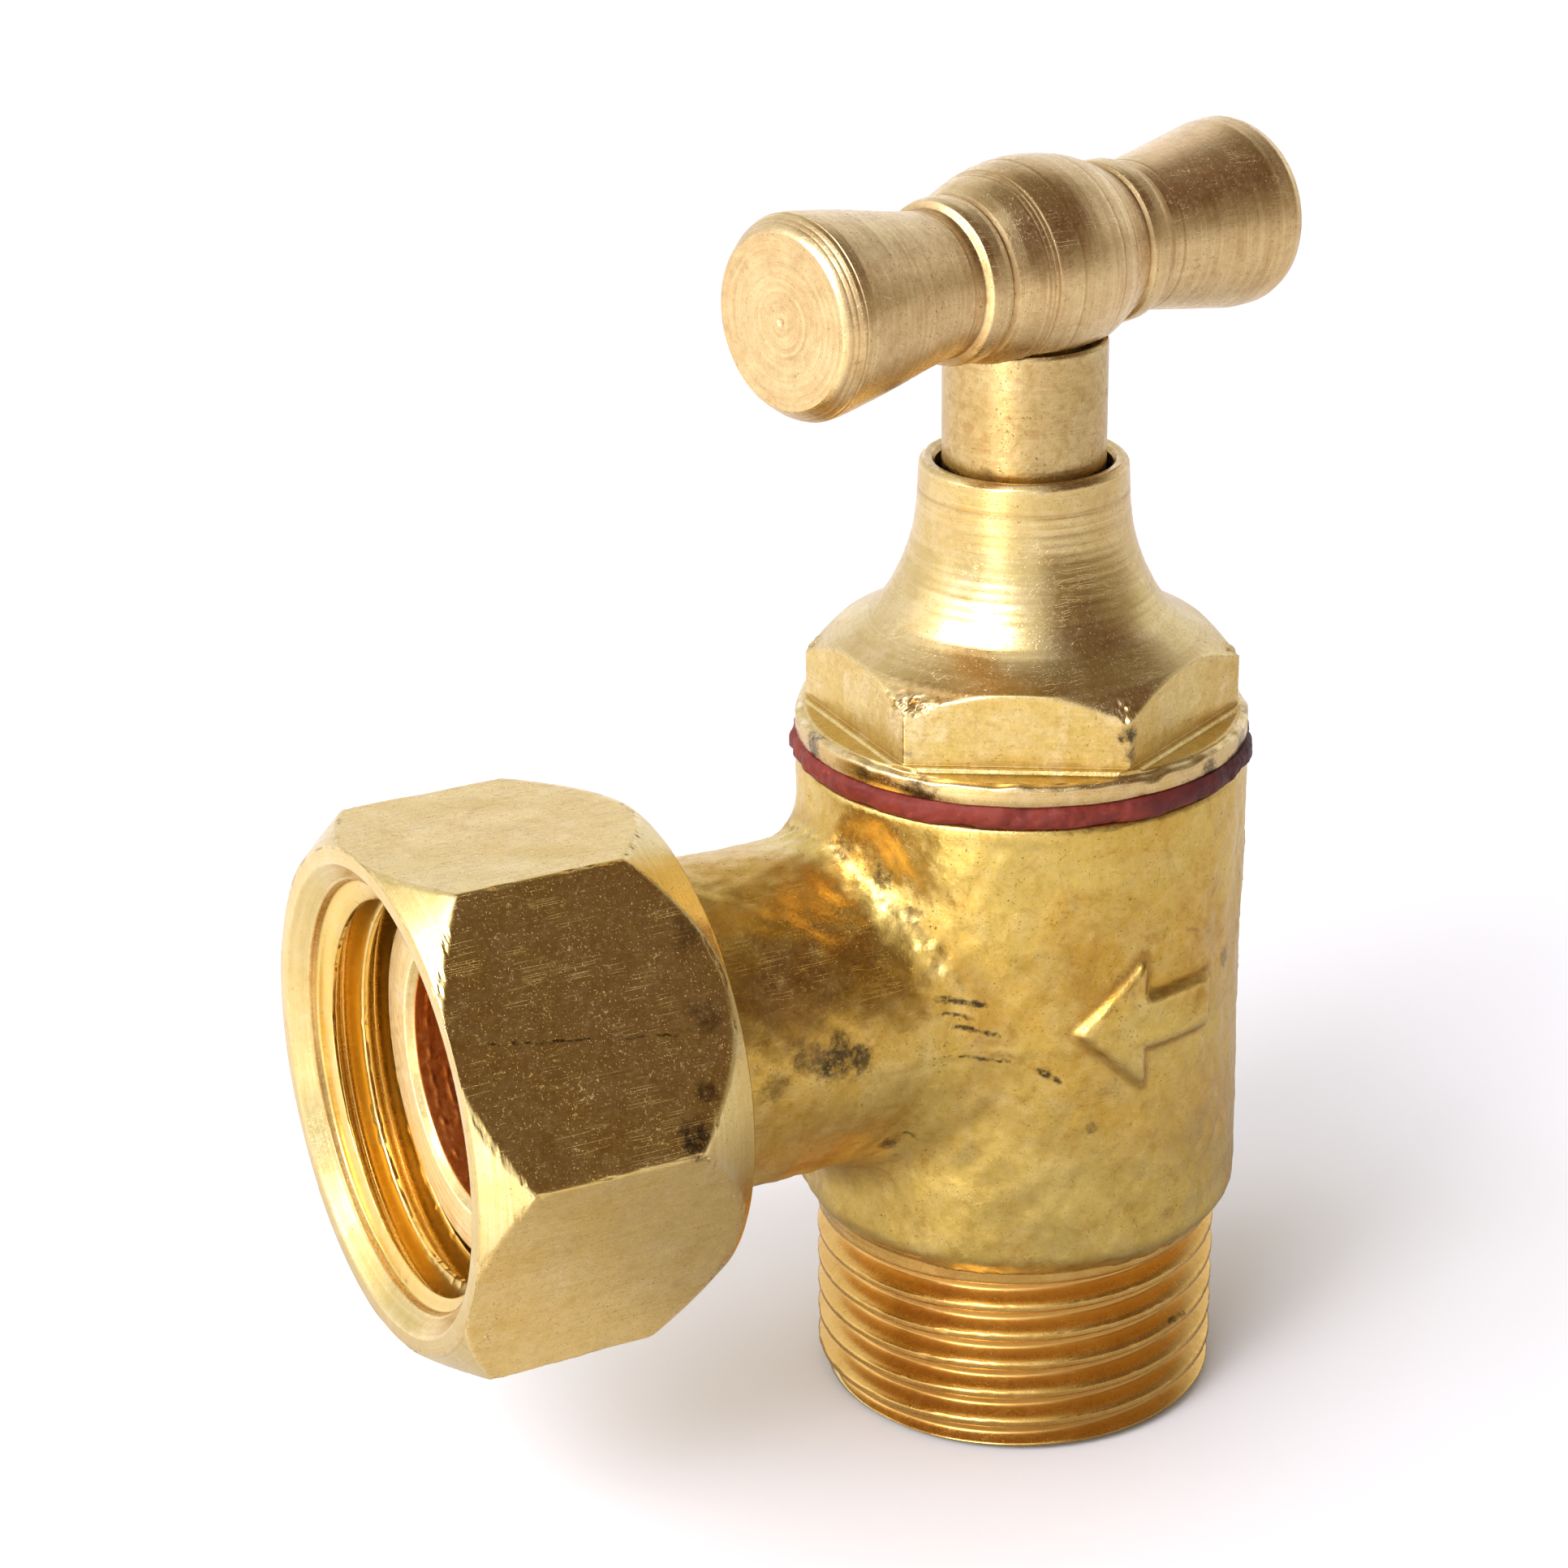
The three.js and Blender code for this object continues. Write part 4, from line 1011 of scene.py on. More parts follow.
def build_bonnet():
    theta = hex_angles(380, BONNET_TURN, corner_span=0.05, extra=20)
    flat, edge = hex_outline(theta, BONNET_FLATS, BONNET_TURN, corner_radius=0.12)
    rings = Rings(theta)
    for row in FLANGE_SIDE:
        rings.add(0.15, *row, cavity=0.16)
    chips = noise_at(Waves(41, 2.0), 9.0, theta, 29.4) * 0.03
    for radius, z, wear_and_highlight in FLANGE_EDGE:
        rings.add(0.08, radius + chips * 0.5, z + chips, wear_and_highlight)
    # flange top, from its edge in to the flats
    for u in np.linspace(0, 1, 34)[1:]:
        radius = 8.72 + (flat + 0.02 - 8.72) * u
        ledge = ledge_height(radius, theta)
        z = 29.60 + 0.02 * min(1.0, u * 6) + ledge * ease(0.0, 0.10, u)
        step_edge = np.clip(1 - np.abs(ledge - 0.11) / 0.06, 0, 1)
        cavity = 0.45 if u > 0.96 else (0.25 if u < 0.06 else 0.0)
        rings.add(0.03, np.minimum(radius, 8.9), z, step_edge, cavity, 1)
    base = 29.62 + ledge_height(flat + 0.02, theta)
    for share, cavity in FLAT_RINGS:
        rings.add(0.12, flat, base + (BELL_OUTLINE[0][1] - base) * share, edge * 0.7, cavity, 1)

    bruised = np.zeros(len(theta))
    for degrees, strength, width in BRUISES:
        offset = (theta - math.radians(degrees) + math.pi) % TAU - math.pi
        bruised = np.maximum(bruised, strength * hump(offset, width))
    damage = Waves(42, 0.55)
    outline = profile(BELL_OUTLINE, step=0.12, arc=5)
    steps = np.diff(outline[3], append=outline[3, -1])
    for radius, z, wear_and_highlight, step in zip(*outline[:3], steps):
        if z > 30.2 and radius > 7.2:           # the cone cuts the hexagon
            coarse = noise_at(damage, radius, theta, z)
            fine = noise_at(damage, radius, theta, z, scale=2.3)
            dent = np.clip(bruised * (-0.15 + 0.20 * coarse + 0.09 * fine), -0.45, 0.3)
            cone = radius - dent * ease(7.7, 8.15, radius)
            # the cone's edge at the flats and the worst bruise are painted bright: wear and
            # painted highlight
            wear_and_highlight = np.maximum(np.clip(1 - np.abs(cone - flat) / 0.16, 0, 1) * 0.8,
                              0.9 * (bruised > 0.5) * (radius > 7.9))
            rings.add(step, smooth_min(cone, flat, 0.10), z,
                      np.maximum(wear_and_highlight, (cone > flat) * edge * 0.7),
                      np.clip(bruised * 0.6 * np.clip(coarse, 0, 1), 0, 0.8), cone > flat)
        else:
            rings.add(step, radius, z, wear_and_highlight, 0.8 if radius < 3.6 and z < 39.6 else 0.0)

    # shallow tool rings, a groove below the rim and painted shade on the rim
    radius, z, wear_and_highlight, cavity, material = rings.arrays()
    ripple = 0.006 * np.sin(z * 17.0) * (z > 33.0) * (z < 39.5) * (radius > 3.9)
    groove = hump(z - 38.75, 0.06) * (radius > 4.0)
    radius = radius + ripple - 0.03 * groove
    cavity = np.maximum(cavity, 0.6 * groove)
    # painted shade just inside the rim, laid in through the cavity colour
    rim_shade = ease(39.72, 39.92, z) * (radius > 3.4) * (radius < 4.1)
    cavity = np.maximum(cavity, 0.42 * rim_shade)
    rings.loft("bonnet_shell", (radius, z, wear_and_highlight, cavity, material),
               materials=[BONNET, BONNET_HEX], body="valve", node="bonnet",
               slot="brass_turned")


# ------------------------------------------------------------ union nut
NUT_CORNER = 11.45                              # radius where both chamfers start
MOUTH_RADIUS, MOUTH_SLOPE = 9.87, 1.2           # mouth face edge and its chamfer
BACK_RADIUS, BACK_SLOPE = 9.64, 1.755           # back face edge and its chamfer
NUT_ROOT, NUT_CREST = 8.40, 7.50                # thread radii
# back face: radius, wear and painted highlight
NUT_BACK_RINGS = ((7.15, 0.3), (7.4, 0.0), (7.9, 0.0), (8.4, 0.0), (8.9, 0), (9.3, 0.0),
                  (9.5, 0.2))
# mouth face, lead-in cone and step: radius, depth behind the mouth, wear and painted highlight,
# cavity
NUT_MOUTH_RINGS = (
    (9.84, 0.03, 0.7, 0), (9.80, 0.006, 0.4, 0), (9.75, 0, 0.1, 0.1), (9.6, 0.006, 0.0, 0.1),
    (9.5, 0, 0.0, 0), (9.38, 0.006, 0.1, 0), (9.28, 0, 0.3, 0), (9.21, 0.015, 0.8, 0),
    (9.16, 0.05, 0.8, 0), (9.08, 0.13, 0.2, 0), (8.98, 0.22, 0.1, 0), (8.88, 0.305, 0.1, 0),
    (8.78, 0.40, 0.1, 0), (8.68, 0.49, 0.1, 0), (8.58, 0.585, 0.2, 0), (8.53, 0.64, 0.6, 0.1),
    (8.46, 0.665, 0.3, 0.7), (8.44, 0.70, 0.2, 0.8), (8.44, 0.78, 0.9, 0.3),
    (8.43, 0.82, 0.7, 0.3), (8.42, 0.88, 0.1, 0.6), (8.40, 0.95, 0.1, 0.6))
# behind the thread and through the rear bore: radius, place, cavity
NUT_INNER_RINGS = (
    (8.38, 21.35, 0.6), (8.40, 20.9, 0.6), (8.38, 20.4, 0.6), (8.30, 20.3, 0.5),
    (7.6, 20.3, 0.4), (6.95, 20.3, 0.3), (6.86, 20.2, 0.2), (6.86, 19.0, 0.4),
    (6.86, 17.6, 0.3), (6.90, 17.35, 0.2), (7.05, 17.12, 0.1))


def build_union_nut():
    theta = hex_angles(400, NUT_TURN, corner_span=0.04, extra=22)
    flat, edge = hex_outline(theta, NUT_FLATS, NUT_TURN, corner_radius=0.22)
    rings = Rings(theta)

    def chamfer(step, radius, z, blend, polish_and_highlight):
        wear_and_highlight = np.clip(1 - np.abs(radius - flat) / 0.14, 0, 1) * polish_and_highlight
        rings.add(step, smooth_min(radius, flat, blend), z,
                  np.maximum(wear_and_highlight, (radius > flat) * edge * 0.7), material=radius < flat)

    for radius, wear_and_highlight in NUT_BACK_RINGS:
        rings.add(0.4, radius, NUT_BACK + (0.008 if radius < 9 else 0.0), wear_and_highlight, 0.1, 1)
    for u in np.linspace(0, 1, 64):
        radius = 9.60 + u * (NUT_CORNER - 9.60)
        z = NUT_BACK + max(0.0, radius - BACK_RADIUS) * BACK_SLOPE + 0.012
        chamfer(0.06, radius, z, blend=0.13, polish_and_highlight=0.55)
    back = NUT_BACK + (NUT_CORNER - BACK_RADIUS) * BACK_SLOPE
    front = NUT_MOUTH - (NUT_CORNER - MOUTH_RADIUS) * MOUTH_SLOPE
    uneven = Waves(52, 4.0)
    for u in np.linspace(0, 1, 24)[1:-1]:
        z = back + (front - back) * u
        rings.add(0.3, flat + 0.012 * noise_at(uneven, flat, theta, z), z, edge * 0.75)
    for u in np.linspace(0, 1, 60):
        radius = NUT_CORNER - u * (NUT_CORNER - MOUTH_RADIUS - 0.02)
        z = NUT_MOUTH - (radius - MOUTH_RADIUS) * MOUTH_SLOPE
        chamfer(0.04, radius, z, blend=0.11, polish_and_highlight=0.9)
    for radius, depth, wear_and_highlight, cavity in NUT_MOUTH_RINGS:
        rings.add(0.08, radius, NUT_MOUTH - depth, wear_and_highlight, cavity, 1)

    # thread, with small burrs along its crests
    burrs = Waves(51, 1.0)
    for z in np.arange(NUT_MOUTH - 0.98, 21.4, -0.035):
        wave = np.clip((thread_wave(z, theta, PITCH, shift=0.033) - 0.10) / 0.76, 0, 1)
        wave = 0.55 * wave + 0.45 * wave * wave * (3 - 2 * wave)
        fade = ease(NUT_MOUTH - 0.95, NUT_MOUTH - 1.22, z)
        radius = NUT_ROOT - (NUT_ROOT - NUT_CREST) * wave * fade
        burr = np.clip(noise_at(burrs, 8, theta, z) - 0.9, 0, 1)
        rings.add(0.035, radius + 0.03 * burr * (wave > 0.8), z,
                  np.clip((wave - 0.86) * 7, 0, 1) * 0.8 * fade,
                  np.clip(1 - wave * 2.2, 0, 1) * fade, 2)
    for radius, z, cavity in NUT_INNER_RINGS:
        rings.add(0.4, radius, z, 0.1, cavity, 2)

    # dented outer edges
    radius, z, wear_and_highlight, cavity, material = rings.arrays()
    dents = np.clip(noise_at(Waves(53, 0.8), radius, theta, z) - 0.55, 0, 1)
    radius = np.minimum(radius - dents * 0.07 * ((wear_and_highlight > 0.4) & (radius > 9.3)), 11.27)
    rings.loft("union_nut_hex", (radius, z, wear_and_highlight, cavity, material), tilt=TO_OUTLET,
               lift=OUTLET_Z, materials=[NUT, NUT_TURNED, NUT_THREAD], body="union",
               node="union_nut", slot="brass_nut")


# ------------------------------------------------------------ inlet thread
INLET_ROOT, INLET_CREST = 7.62, 8.31
# bottom face, bore to thread: radius, height, wear and painted highlight
INLET_FACE = (
    (5.1, 0.40, 0.3), (5.16, 0.30, 0.6), (5.34, 0.10, 0.3), (5.46, 0.02, 0.8),
    (5.6, 0.0, 0.4), (6.0, 0.008, 0.1), (6.4, 0.0, 0.1), (6.8, 0.01, 0.1), (7.2, 0.0, 0.1),
    (7.5, 0.0, 0.1), (7.7, 0.0, 0.3), (7.88, 0.01, 0.7), (7.97, 0.05, 0.8))


def build_inlet():
    theta = circle_angles(420)
    rings = Rings(theta)
    rings.add(0.0, 4.9, 8.9, material=1)
    for z in np.arange(8.5, 0.41, -0.3):
        rings.add(0.3, 5.1, z, cavity=0.5, material=1)
    for row in INLET_FACE:
        rings.add(0.2, *row, material=1)
    nicks = Waves(61, 0.9)
    for z in np.arange(0.08, 8.62, 0.035):
        wave = np.clip((thread_wave(z, theta, PITCH, shift=0.73) - 0.11) / 0.80, 0, 1)
        radius = INLET_ROOT + (INLET_CREST - INLET_ROOT) * (0.5 - 0.5 * np.cos(np.pi * wave))
        nick = np.clip(noise_at(nicks, 8, theta, z) - 0.5, 0, 1)
        radius = radius - 0.02 * nick * (wave > 0.85)
        # the thread runs out into the shoulder and starts under a lead-in cone
        depth = ease(8.05, 7.35, z)
        radius = INLET_CREST - (INLET_CREST - radius) * depth
        radius = smooth_min(radius, 8.06 + (z - 0.08) * 0.75, 0.10)
        if z > 8.1:
            radius = np.maximum(radius, INLET_CREST + max(0.0, z - 8.22) * 0.85)
        end_wear_and_highlight = 0.5 if z < 0.3 else 0
        rings.add(0.035, radius, z,
                  np.clip((wave - 0.90) * 9, 0, 1) * 0.40 * depth + end_wear_and_highlight,
                  np.clip(1 - wave * 1.7, 0, 1) * 0.8 * depth)
    rings.add(1, 7.4, 8.7)
    rings.add(0, 6.0, 8.95)
    rings.loft("valve_body_inlet", materials=[THREAD, NUT_TURNED], body="valve",
               slot="brass_forged")


# ------------------------------------------------------------ outlet tail
# radius, place along -X, wear and painted highlight, cavity, material index
TAIL_MOUTH = ((5.125, 24.58, 0.7, 0, 2), (5.20, 24.65, 0.5, 0, 2), (5.30, 24.75, 0.4, 0, 2),
              (5.40, 24.85, 0.8, 0, 3), (5.46, 24.885, 0.8, 0, 3))
# radius, place along -X, wear and painted highlight
TAIL_COLLAR = (
    (7.04, 24.88, 0.5), (7.13, 24.85, 0.8), (7.20, 24.78, 0.7), (7.235, 24.68, 0.3),
    (7.24, 24.5, 0.1), (7.24, 24.2, 0.0), (7.24, 23.9, 0.0), (7.235, 23.62, 0.1),
    (7.18, 23.48, 0.6), (7.05, 23.42, 0.3), (6.5, 23.40, 0.0))


def build_tail():
    """Tooled bore, bore mouth, end face and collar."""
    theta = circle_angles(360)
    rings = Rings(theta)
    breaks = Waves(65, 0.5)
    for z in np.arange(13.6, 24.56, 0.07):
        ridge = hump(thread_wave(z, theta, pitch=0.62) / 2, 0.13)
        ridge = ridge * np.clip(0.35 + 0.9 * noise_at(breaks, 5, theta, z), 0, 1)
        # pale ridge crests: tool marks with painted glints
        rings.add(0.07, 5.12 - 0.035 * ridge, z, 0.95 * ridge, material=1)
    for row in TAIL_MOUTH:
        rings.add(0.1, *row)
    # pale tool rings on the end face: wear and painted highlight
    for radius in np.arange(5.53, 7.0, 0.07):
        tooling = math.sin(radius * 19.0)
        rings.add(0.07, radius, 24.886 - 0.004 * (1 + tooling),
                  0.1 + 0.4 * max(0.0, tooling) ** 4, material=3)
    for row in TAIL_COLLAR:
        rings.add(0.15, *row, material=2)
    rings.add(1, 6.0, 22.0, material=2)
    rings.add(0, 5.9, 14.2, material=1)
    rings.loft("valve_body_tail", tilt=TO_OUTLET, lift=OUTLET_Z,
               materials=[FORGED, BORE, NUT_TURNED, TAIL_FACE_PAINTED_LIGHT], body="valve",
               slot="brass_forged")


# ------------------------------------------------------------ barrel and neck
# raised arrow on the barrel's -Y side, pointing to the outlet: (around, up)
ARROW = np.array([(-3.3, 0.0), (-0.4, 2.7), (-0.4, 1.1), (3.1, 1.1), (3.1, -1.1),
                  (-0.4, -1.1), (-0.4, -2.7)])
ARROW_AZIMUTH, ARROW_Z = math.radians(4.5), 19.2    # azimuth from -Y towards +X
BROAD_SKIN, MIDDLE_SKIN, FINE_SKIN = Waves(71, 7.0), Waves(72, 1.6), Waves(73, 0.7, 30)
LUMPS = Waves(74, 0.9, 30)


def polygon_distance(points, polygon):
    """Signed distance to a polygon, negative inside."""
    nearest = np.full(len(points), 1e9)
    sign = np.ones(len(points))
    for i in range(len(polygon)):
        here, last = polygon[i], polygon[i - 1]
        side = last - here
        offset = points - here
        t = np.clip((offset @ side) / (side @ side), 0, 1)
        nearest = np.minimum(nearest, ((offset - t[:, None] * side) ** 2).sum(1))
        above = points[:, 1] >= here[1]
        below = points[:, 1] < last[1]
        left = side[0] * offset[:, 1] > side[1] * offset[:, 0]
        crossed = (above & below & left) | (~above & ~below & ~left)
        sign = np.where(crossed, -sign, sign)
    return sign * np.sqrt(nearest)


def arrow_distance(x, y, z):
    """Signed distance to the arrow's outline on the barrel; 9 well away from it."""
    azimuth = np.arctan2(x, -y) - ARROW_AZIMUTH
    around = BARREL_RADIUS * ((azimuth + math.pi) % TAU - math.pi)
    upward = z - ARROW_Z
    near = (np.abs(around) < 5) & (np.abs(upward) < 5)
    distance = np.full(len(x), 9.0)
    if near.any():
        distance[near] = polygon_distance(np.stack([around[near], upward[near]], -1), ARROW)
    return distance


def hollow_field(x, z, radius, neck_radius):
    """Distance field of the inlet bore, seat, chamber, top mouth and outlet bore."""
    bore = smooth_max(radius - 5.16, z - 11.6, 0.3)
    seat = smooth_max(radius - 3.6, np.abs(z - 13.5) - 3.0, 0.15)
    chamber = smooth_max(smooth_max(radius - 7.2, 13.2 - z, 0.3), z - 24.0, 0.2)
    seat_ring = smooth_max(radius - 4.7, z - 15.0, 0.3)
    chamber = smooth_max(chamber, -seat_ring, 0.2)
    mouth = smooth_max(radius - 7.8, 23.6 - z, 0.2)
    outlet = smooth_max(neck_radius - (5.12 + 0.10 * ease(13.4, 14.0, -x)), x + 3.0, 0.2)
    hollow = np.minimum(np.minimum(bore, seat), np.minimum(chamber, mouth))
    return smooth_min(hollow, outlet, 0.15)


def body_field(points):
    """Distance field of the forged body, negative in the metal."""
    x, y, z = points.T
    radius = np.hypot(x, y)
    neck_radius = np.hypot(y, z - OUTLET_Z)
    raised = 0.36 * (1 - ease(-0.22, 0.22, arrow_distance(x, y, z)))
    barrel = smooth_max(radius - BARREL_RADIUS - raised, z - BODY_TOP, 0.22)
    cone = (8.36 + (z - 8.2) * 0.80 - radius) * 0.78
    barrel = smooth_max(barrel, -cone, 0.16)
    barrel = smooth_max(barrel, 8.2 - z, 0.05)
    neck = smooth_max(neck_radius - NECK_RADIUS, np.maximum(-x - NECK_END, x), 0.2)
    field = smooth_min(barrel, neck, 1.75)

    # forging skin, a faint parting line on the neck's mid plane and a lumpy upper fillet
    skin = 0.034 * BROAD_SKIN(points) + 0.016 * MIDDLE_SKIN(points) + 0.006 * FINE_SKIN(points)
    line = (0.045 * hump(z - OUTLET_Z + 0.15, 0.13) * np.clip(0.45 + LUMPS(points), 0, 1)
            * ease(-2.0, -4.0, y))
    off_joint = (radius - BARREL_RADIUS) - (neck_radius - NECK_RADIUS)
    joint = (hump(off_joint, 0.55) * ease(0.9, 0.2, np.abs(field))
             * ease(OUTLET_Z + 0.5, OUTLET_Z + 3.0, z))
    lumpy = 0.040 * np.clip(LUMPS(points * 1.9), -1, 1) * joint
    clear_of_ends = ease(27.6, 26.9, z) * ease(23.2, 22.4, -x)
    field = field - (skin + line + lumpy) * clear_of_ends
    return smooth_max(field, -hollow_field(x, z, radius, neck_radius), 0.10)


def surface_nets(field, low, high, cell):
    """Meshes the zero surface of a field on a grid: points and quads."""
    low = np.array(low, float)
    count = np.ceil((np.array(high) - low) / cell).astype(int) + 1
    xs, ys, zs = (low[i] + cell * np.arange(count[i]) for i in range(3))
    values = np.empty(count, np.float32)
    grid_y, grid_z = np.meshgrid(ys, zs, indexing="ij")
    for i in range(count[0]):
        layer = np.stack([np.full(grid_y.size, xs[i]), grid_y.ravel(), grid_z.ravel()], -1)
        values[i] = field(layer).reshape(count[1], count[2])
    inside = values < 0
    corners = np.zeros(tuple(count - 1), np.int8)
    for corner in product((0, 1), repeat=3):
        corners += inside[tuple(slice(c, c + n - 1) for c, n in zip(corner, count))]
    active = (corners > 0) & (corners < 8)
    cells = np.argwhere(active)
    index = -np.ones(active.shape, np.int64)
    index[active] = np.arange(len(cells))

    # each active cell's point is the mean of its edge crossings
    total = np.zeros((len(cells), 3))
    crossings = np.zeros(len(cells))
    for axis in range(3):
        other, third = [a for a in range(3) if a != axis]
        for i, j in product((0, 1), repeat=2):
            start = cells.copy()
            start[:, other] += i
            start[:, third] += j
            end = start.copy()
            end[:, axis] += 1
            first, last = values[tuple(start.T)], values[tuple(end.T)]
            crossed = (first < 0) != (last < 0)
            t = np.where(crossed, first / np.where(crossed, first - last, 1), 0)
            place = start.astype(float)
            place[:, axis] += t
            total[crossed] += place[crossed]
            crossings += crossed
    points = low + cell * total / crossings[:, None]

    # each crossed grid edge gives a quad of the four cells round it
    quads = []
    for axis in range(3):
        other, third = (axis + 1) % 3, (axis + 2) % 3
        lower = [slice(0, n) for n in count]
        upper = list(lower)
        lower[axis] = slice(0, count[axis] - 1)
        upper[axis] = slice(1, count[axis])
        edges = np.argwhere(inside[tuple(lower)] != inside[tuple(upper)])
        edges = edges[(edges[:, other] > 0) & (edges[:, third] > 0)
                      & (edges[:, other] < count[other] - 1)
                      & (edges[:, third] < count[third] - 1)]
        around = []
        for i, j in ((0, 0), (1, 0), (1, 1), (0, 1)):
            place = edges.copy()
            place[:, other] -= i
            place[:, third] -= j
            around.append(index[tuple(place.T)])
        around = np.stack(around, -1)
        starts_inside = inside[tuple(edges.T)]
        quads.append(np.where(starts_inside[:, None], around, around[:, ::-1]))

    # settle the points on the surface
    probe = 0.01
    for _ in range(3):
        value = field(points)
        slope = np.stack([field(points + axis * probe) - field(points - axis * probe)
                          for axis in np.eye(3)], -1) / (2 * probe)
        steepness = np.maximum((slope * slope).sum(1), 0.15)
        move = -(value / steepness)[:, None] * slope
        length = np.linalg.norm(move, axis=1)
        move *= np.minimum(1, 0.5 * cell / np.maximum(length, 1e-9))[:, None]
        points = points + move
    return points, np.concatenate(quads)


def build_shell():
    points, quads = surface_nets(body_field, (-25.6, -10.2, 7.6), (10.2, 10.2, 28.4),
                                 0.2)
    x, y, z = points.T
    radius = np.hypot(x, y)
    neck_radius = np.hypot(y, z - OUTLET_Z)
    arrow = arrow_distance(x, y, z)
    on_barrel = radius > 8.5
    cavity = 0.75 * hump(arrow - 0.22, 0.16) * on_barrel
    wear_and_highlight = 0.8 * hump(arrow + 0.22, 0.14) * on_barrel
    cavity[(radius < 8.4) & (x > -8) | (neck_radius < 5.2) & (x < -6)] = 0.4
    # the top edge and the fillet above the neck are painted bright: rubbed wear and painted
    # highlight
    wear_and_highlight = np.maximum(wear_and_highlight, 0.5 * hump(z - BODY_TOP + 0.1, 0.12) * (radius > 8.7))
    off_joint = (radius - BARREL_RADIUS) - (neck_radius - NECK_RADIUS)
    at_neck = (x < -3) & (radius > 8.9)
    wear_and_highlight = np.maximum(wear_and_highlight, 0.7 * hump(off_joint, 0.32) * (z > OUTLET_Z + 1.5) * at_neck)
    cavity = np.maximum(cavity, 0.35 * hump(off_joint + 0.5, 0.5) * at_neck)

    on_neck = x < -10.5
    angle = np.arctan2(y, x)
    divisor = np.maximum(neck_radius, 1e-3)
    rev = np.stack([np.where(on_neck, (z - OUTLET_Z) / divisor, np.cos(angle)),
                    np.where(on_neck, y / divisor, np.sin(angle)),
                    np.where(on_neck, -x, z)], -1)
    centre = points[quads].mean(1)
    in_bore = (np.hypot(centre[:, 1], centre[:, 2] - OUTLET_Z) < 5.5) & (centre[:, 0] < -6)
    mesh_object("valve_body_shell", points, quads,
                attributes={"rev": rev, "wear_and_highlight": wear_and_highlight, "cav": cavity},
                materials=[FORGED, BORE], material_index=in_bore, body="valve",
                node="valve_body", slot="brass_forged")


build_handle()
build_spindle()
build_orings()
build_closing_member()
build_gasket()
build_bonnet()
build_union_nut()
build_inlet()
build_tail()
build_shell()


# ------------------------------------------------------------ floor
def build_floor():
    """Pale floor; reflections see a version shaded by direction and distance."""
    bpy.ops.mesh.primitive_plane_add(size=8.0, location=(0, 0, CAD_LOW.z - 0.0002))
    floor = bpy.context.object
    floor.name = "stage_floor"
    material = bpy.data.materials.new("stage_floor")
    material.use_nodes = True
    nodes = material.node_tree.nodes
    net = Net(material.node_tree)
    plain = nodes["Principled BSDF"]
    net.feed(plain.inputs["Base Color"], (0.95, 0.935, 0.90, 1))
    net.feed(plain.inputs["Roughness"], 0.8)
    net.feed(plain.inputs["Specular IOR Level"], 0.2)

    coords = net.add("ShaderNodeTexCoord").outputs["Object"]
    direction = net.vector("NORMALIZE", coords)
    distance = net.vector("LENGTH", coords)
    # darker towards +X, brighter in a beam towards -X -Y, and dark beneath the valve
    across = net.remap(net.vector("DOT_PRODUCT", direction, (0.966, -0.259, 0.0)),
                       low=-1.0, high=1.0, to_low=1.20, to_high=0.79, smooth=False)
    toward = net.vector("DOT_PRODUCT", direction, (-0.857, -0.515, 0.0))
    beam = net.remap(toward, low=0.93, high=0.993, to_high=0.45)
    core = net.times(net.remap(toward, low=0.972, high=0.997, to_high=1.1),
                     net.remap(distance, low=0.075, high=0.105))
    near = net.remap(distance, low=0.010, high=0.065, to_low=0.55)
    level = net.times(net.plus(net.plus(across, core), beam), near)
    colour = net.vector("SCALE", (0.95, 0.91, 0.84), level)
    reflected = net.add("ShaderNodeBsdfDiffuse", {"Color": colour})
    glossy = net.add("ShaderNodeLightPath").outputs["Is Glossy Ray"]
    mixed = net.add("ShaderNodeMixShader",
                    {0: glossy, 1: plain.outputs[0], 2: reflected.outputs[0]})
    net.feed(nodes["Material Output"].inputs["Surface"], mixed.outputs[0])
    floor.data.materials.append(material)


# ------------------------------------------------------------ camera
def build_camera():
    data = bpy.data.cameras.new("camera")
    data.sensor_width = 36.0
    data.lens = 88.37
    data.clip_start = 0.01
    data.clip_end = 50
    camera = bpy.data.objects.new("camera", data)
    bpy.context.scene.collection.objects.link(camera)
    right = Vector((0.886019, -0.463508, -0.011411))
    up = Vector((0.184535, 0.329956, 0.925784))
    forward = Vector((0.425343, 0.822368, -0.37788))
    place = Matrix.Translation(((AXIS_X - 74.438) / 1000, -0.123225, 0.084818))
    camera.matrix_world = place @ Matrix((right, up, -forward)).transposed().to_4x4()
    bpy.context.scene.camera = camera


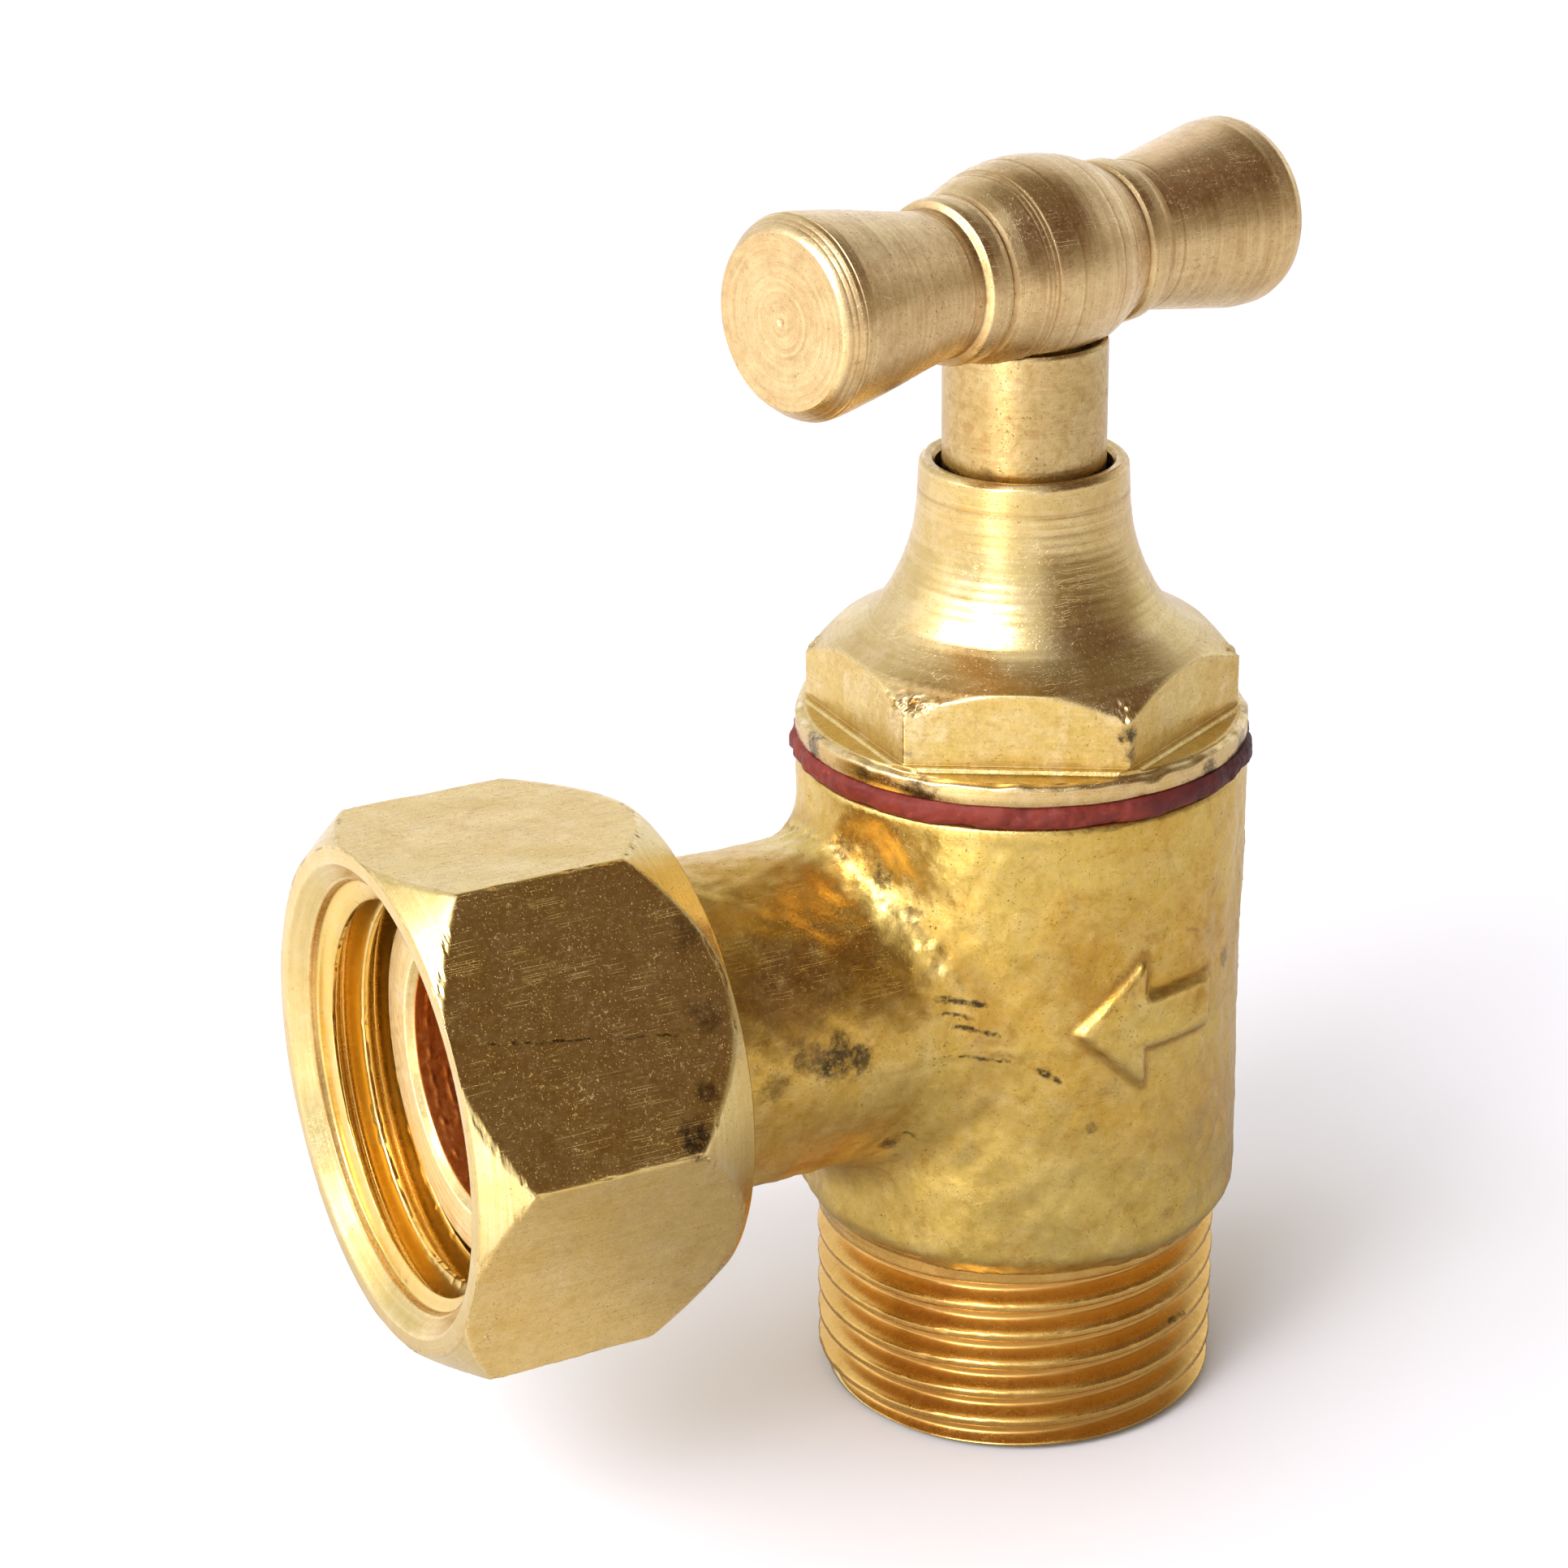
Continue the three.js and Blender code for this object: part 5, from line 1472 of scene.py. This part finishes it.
# ------------------------------------------------------------ surroundings
# lobes of the sky, later ones over earlier: azimuth from -Y towards +X, elevation,
# inner and outer half angle (degrees), brightness, tint
SKY_LOBES = (
    (-112, 26, 8, 32, 1.45, (0.98, 1.0, 1.05)), (158, 2, 6, 17, 1.25, (0.98, 1.0, 1.06)),
    (155, 70, 4, 30, 0.31, (1.18, 1.0, 0.72)), (88, 62, 14, 40, 0.15, (1.28, 1.0, 0.68)),
    (37, 32, 24, 47, 0.105, (1.42, 0.86, 0.58)), (8, 6, 6, 30, 0.25, (1.22, 0.96, 0.74)),
    (60, -8, 16, 44, 0.32, (1.15, 1.0, 0.80)), (-56, 10, 3, 11, 1.8, (1.0, 1.0, 1.05)),
    (-57, 26, 4, 12, 3.0, (1.0, 1.0, 1.08)), (-57, 42, 8, 16, 5.2, (1.0, 1.02, 1.35)),
    (-96, 38, 8, 17, 4.6, (1.0, 1.02, 1.30)))


def build_world():
    """Soft studio: bright lobes on the -X side, dark warm ones towards +X and -Y."""
    world = bpy.data.worlds.new("studio")
    bpy.context.scene.world = world
    world.use_nodes = True
    world.node_tree.nodes.clear()
    net = Net(world.node_tree)
    coords = net.add("ShaderNodeTexCoord").outputs["Generated"]

    def lobe(direction, inner, outer):
        """1 inside a cone about the direction, falling to 0."""
        facing = net.vector("DOT_PRODUCT", net.vector("NORMALIZE", coords),
                            Vector(direction).normalized())
        return net.remap(facing, math.cos(math.radians(outer)), math.cos(math.radians(inner)))

    def lit(brightness, tint):
        return tuple(brightness * channel for channel in tint)

    sky = net.mix(lobe((0, 0, 1), inner=5, outer=95), lit(0.92, (0.99, 1.0, 1.05)),
                  lit(0.82, (0.99, 1.0, 1.02)))
    for azimuth, elevation, inner, outer, brightness, tint in SKY_LOBES:
        azimuth, elevation = math.radians(azimuth), math.radians(elevation)
        direction = (math.sin(azimuth) * math.cos(elevation),
                     -math.cos(azimuth) * math.cos(elevation), math.sin(elevation))
        sky = net.mix(lobe(direction, inner, outer), sky, lit(brightness, tint))
    # the camera itself sees plain grey
    camera_ray = net.add("ShaderNodeLightPath").outputs["Is Camera Ray"]
    shown = net.mix(camera_ray, sky, (0.84, 0.84, 0.84))
    background = net.add("ShaderNodeBackground", {"Color": shown, "Strength": 1.2})
    net.add("ShaderNodeOutputWorld", {"Surface": background.outputs[0]})


def build_key_light():
    data = bpy.data.lights.new("key_left", "AREA")
    data.shape = "RECTANGLE"
    data.size, data.size_y = 0.16, 0.30
    data.energy = 0.9
    light = bpy.data.objects.new("key_left", data)
    bpy.context.scene.collection.objects.link(light)
    place, target = Vector((-0.36, -0.16, 0.34)), Vector((0.004, 0, 0.025))
    light.location = place
    light.rotation_euler = (target - place).to_track_quat("-Z", "Y").to_euler()


build_floor()
build_camera()
build_world()
build_key_light()
bpy.context.scene.view_settings.view_transform = "Standard"
bpy.context.scene.view_settings.look = "None"
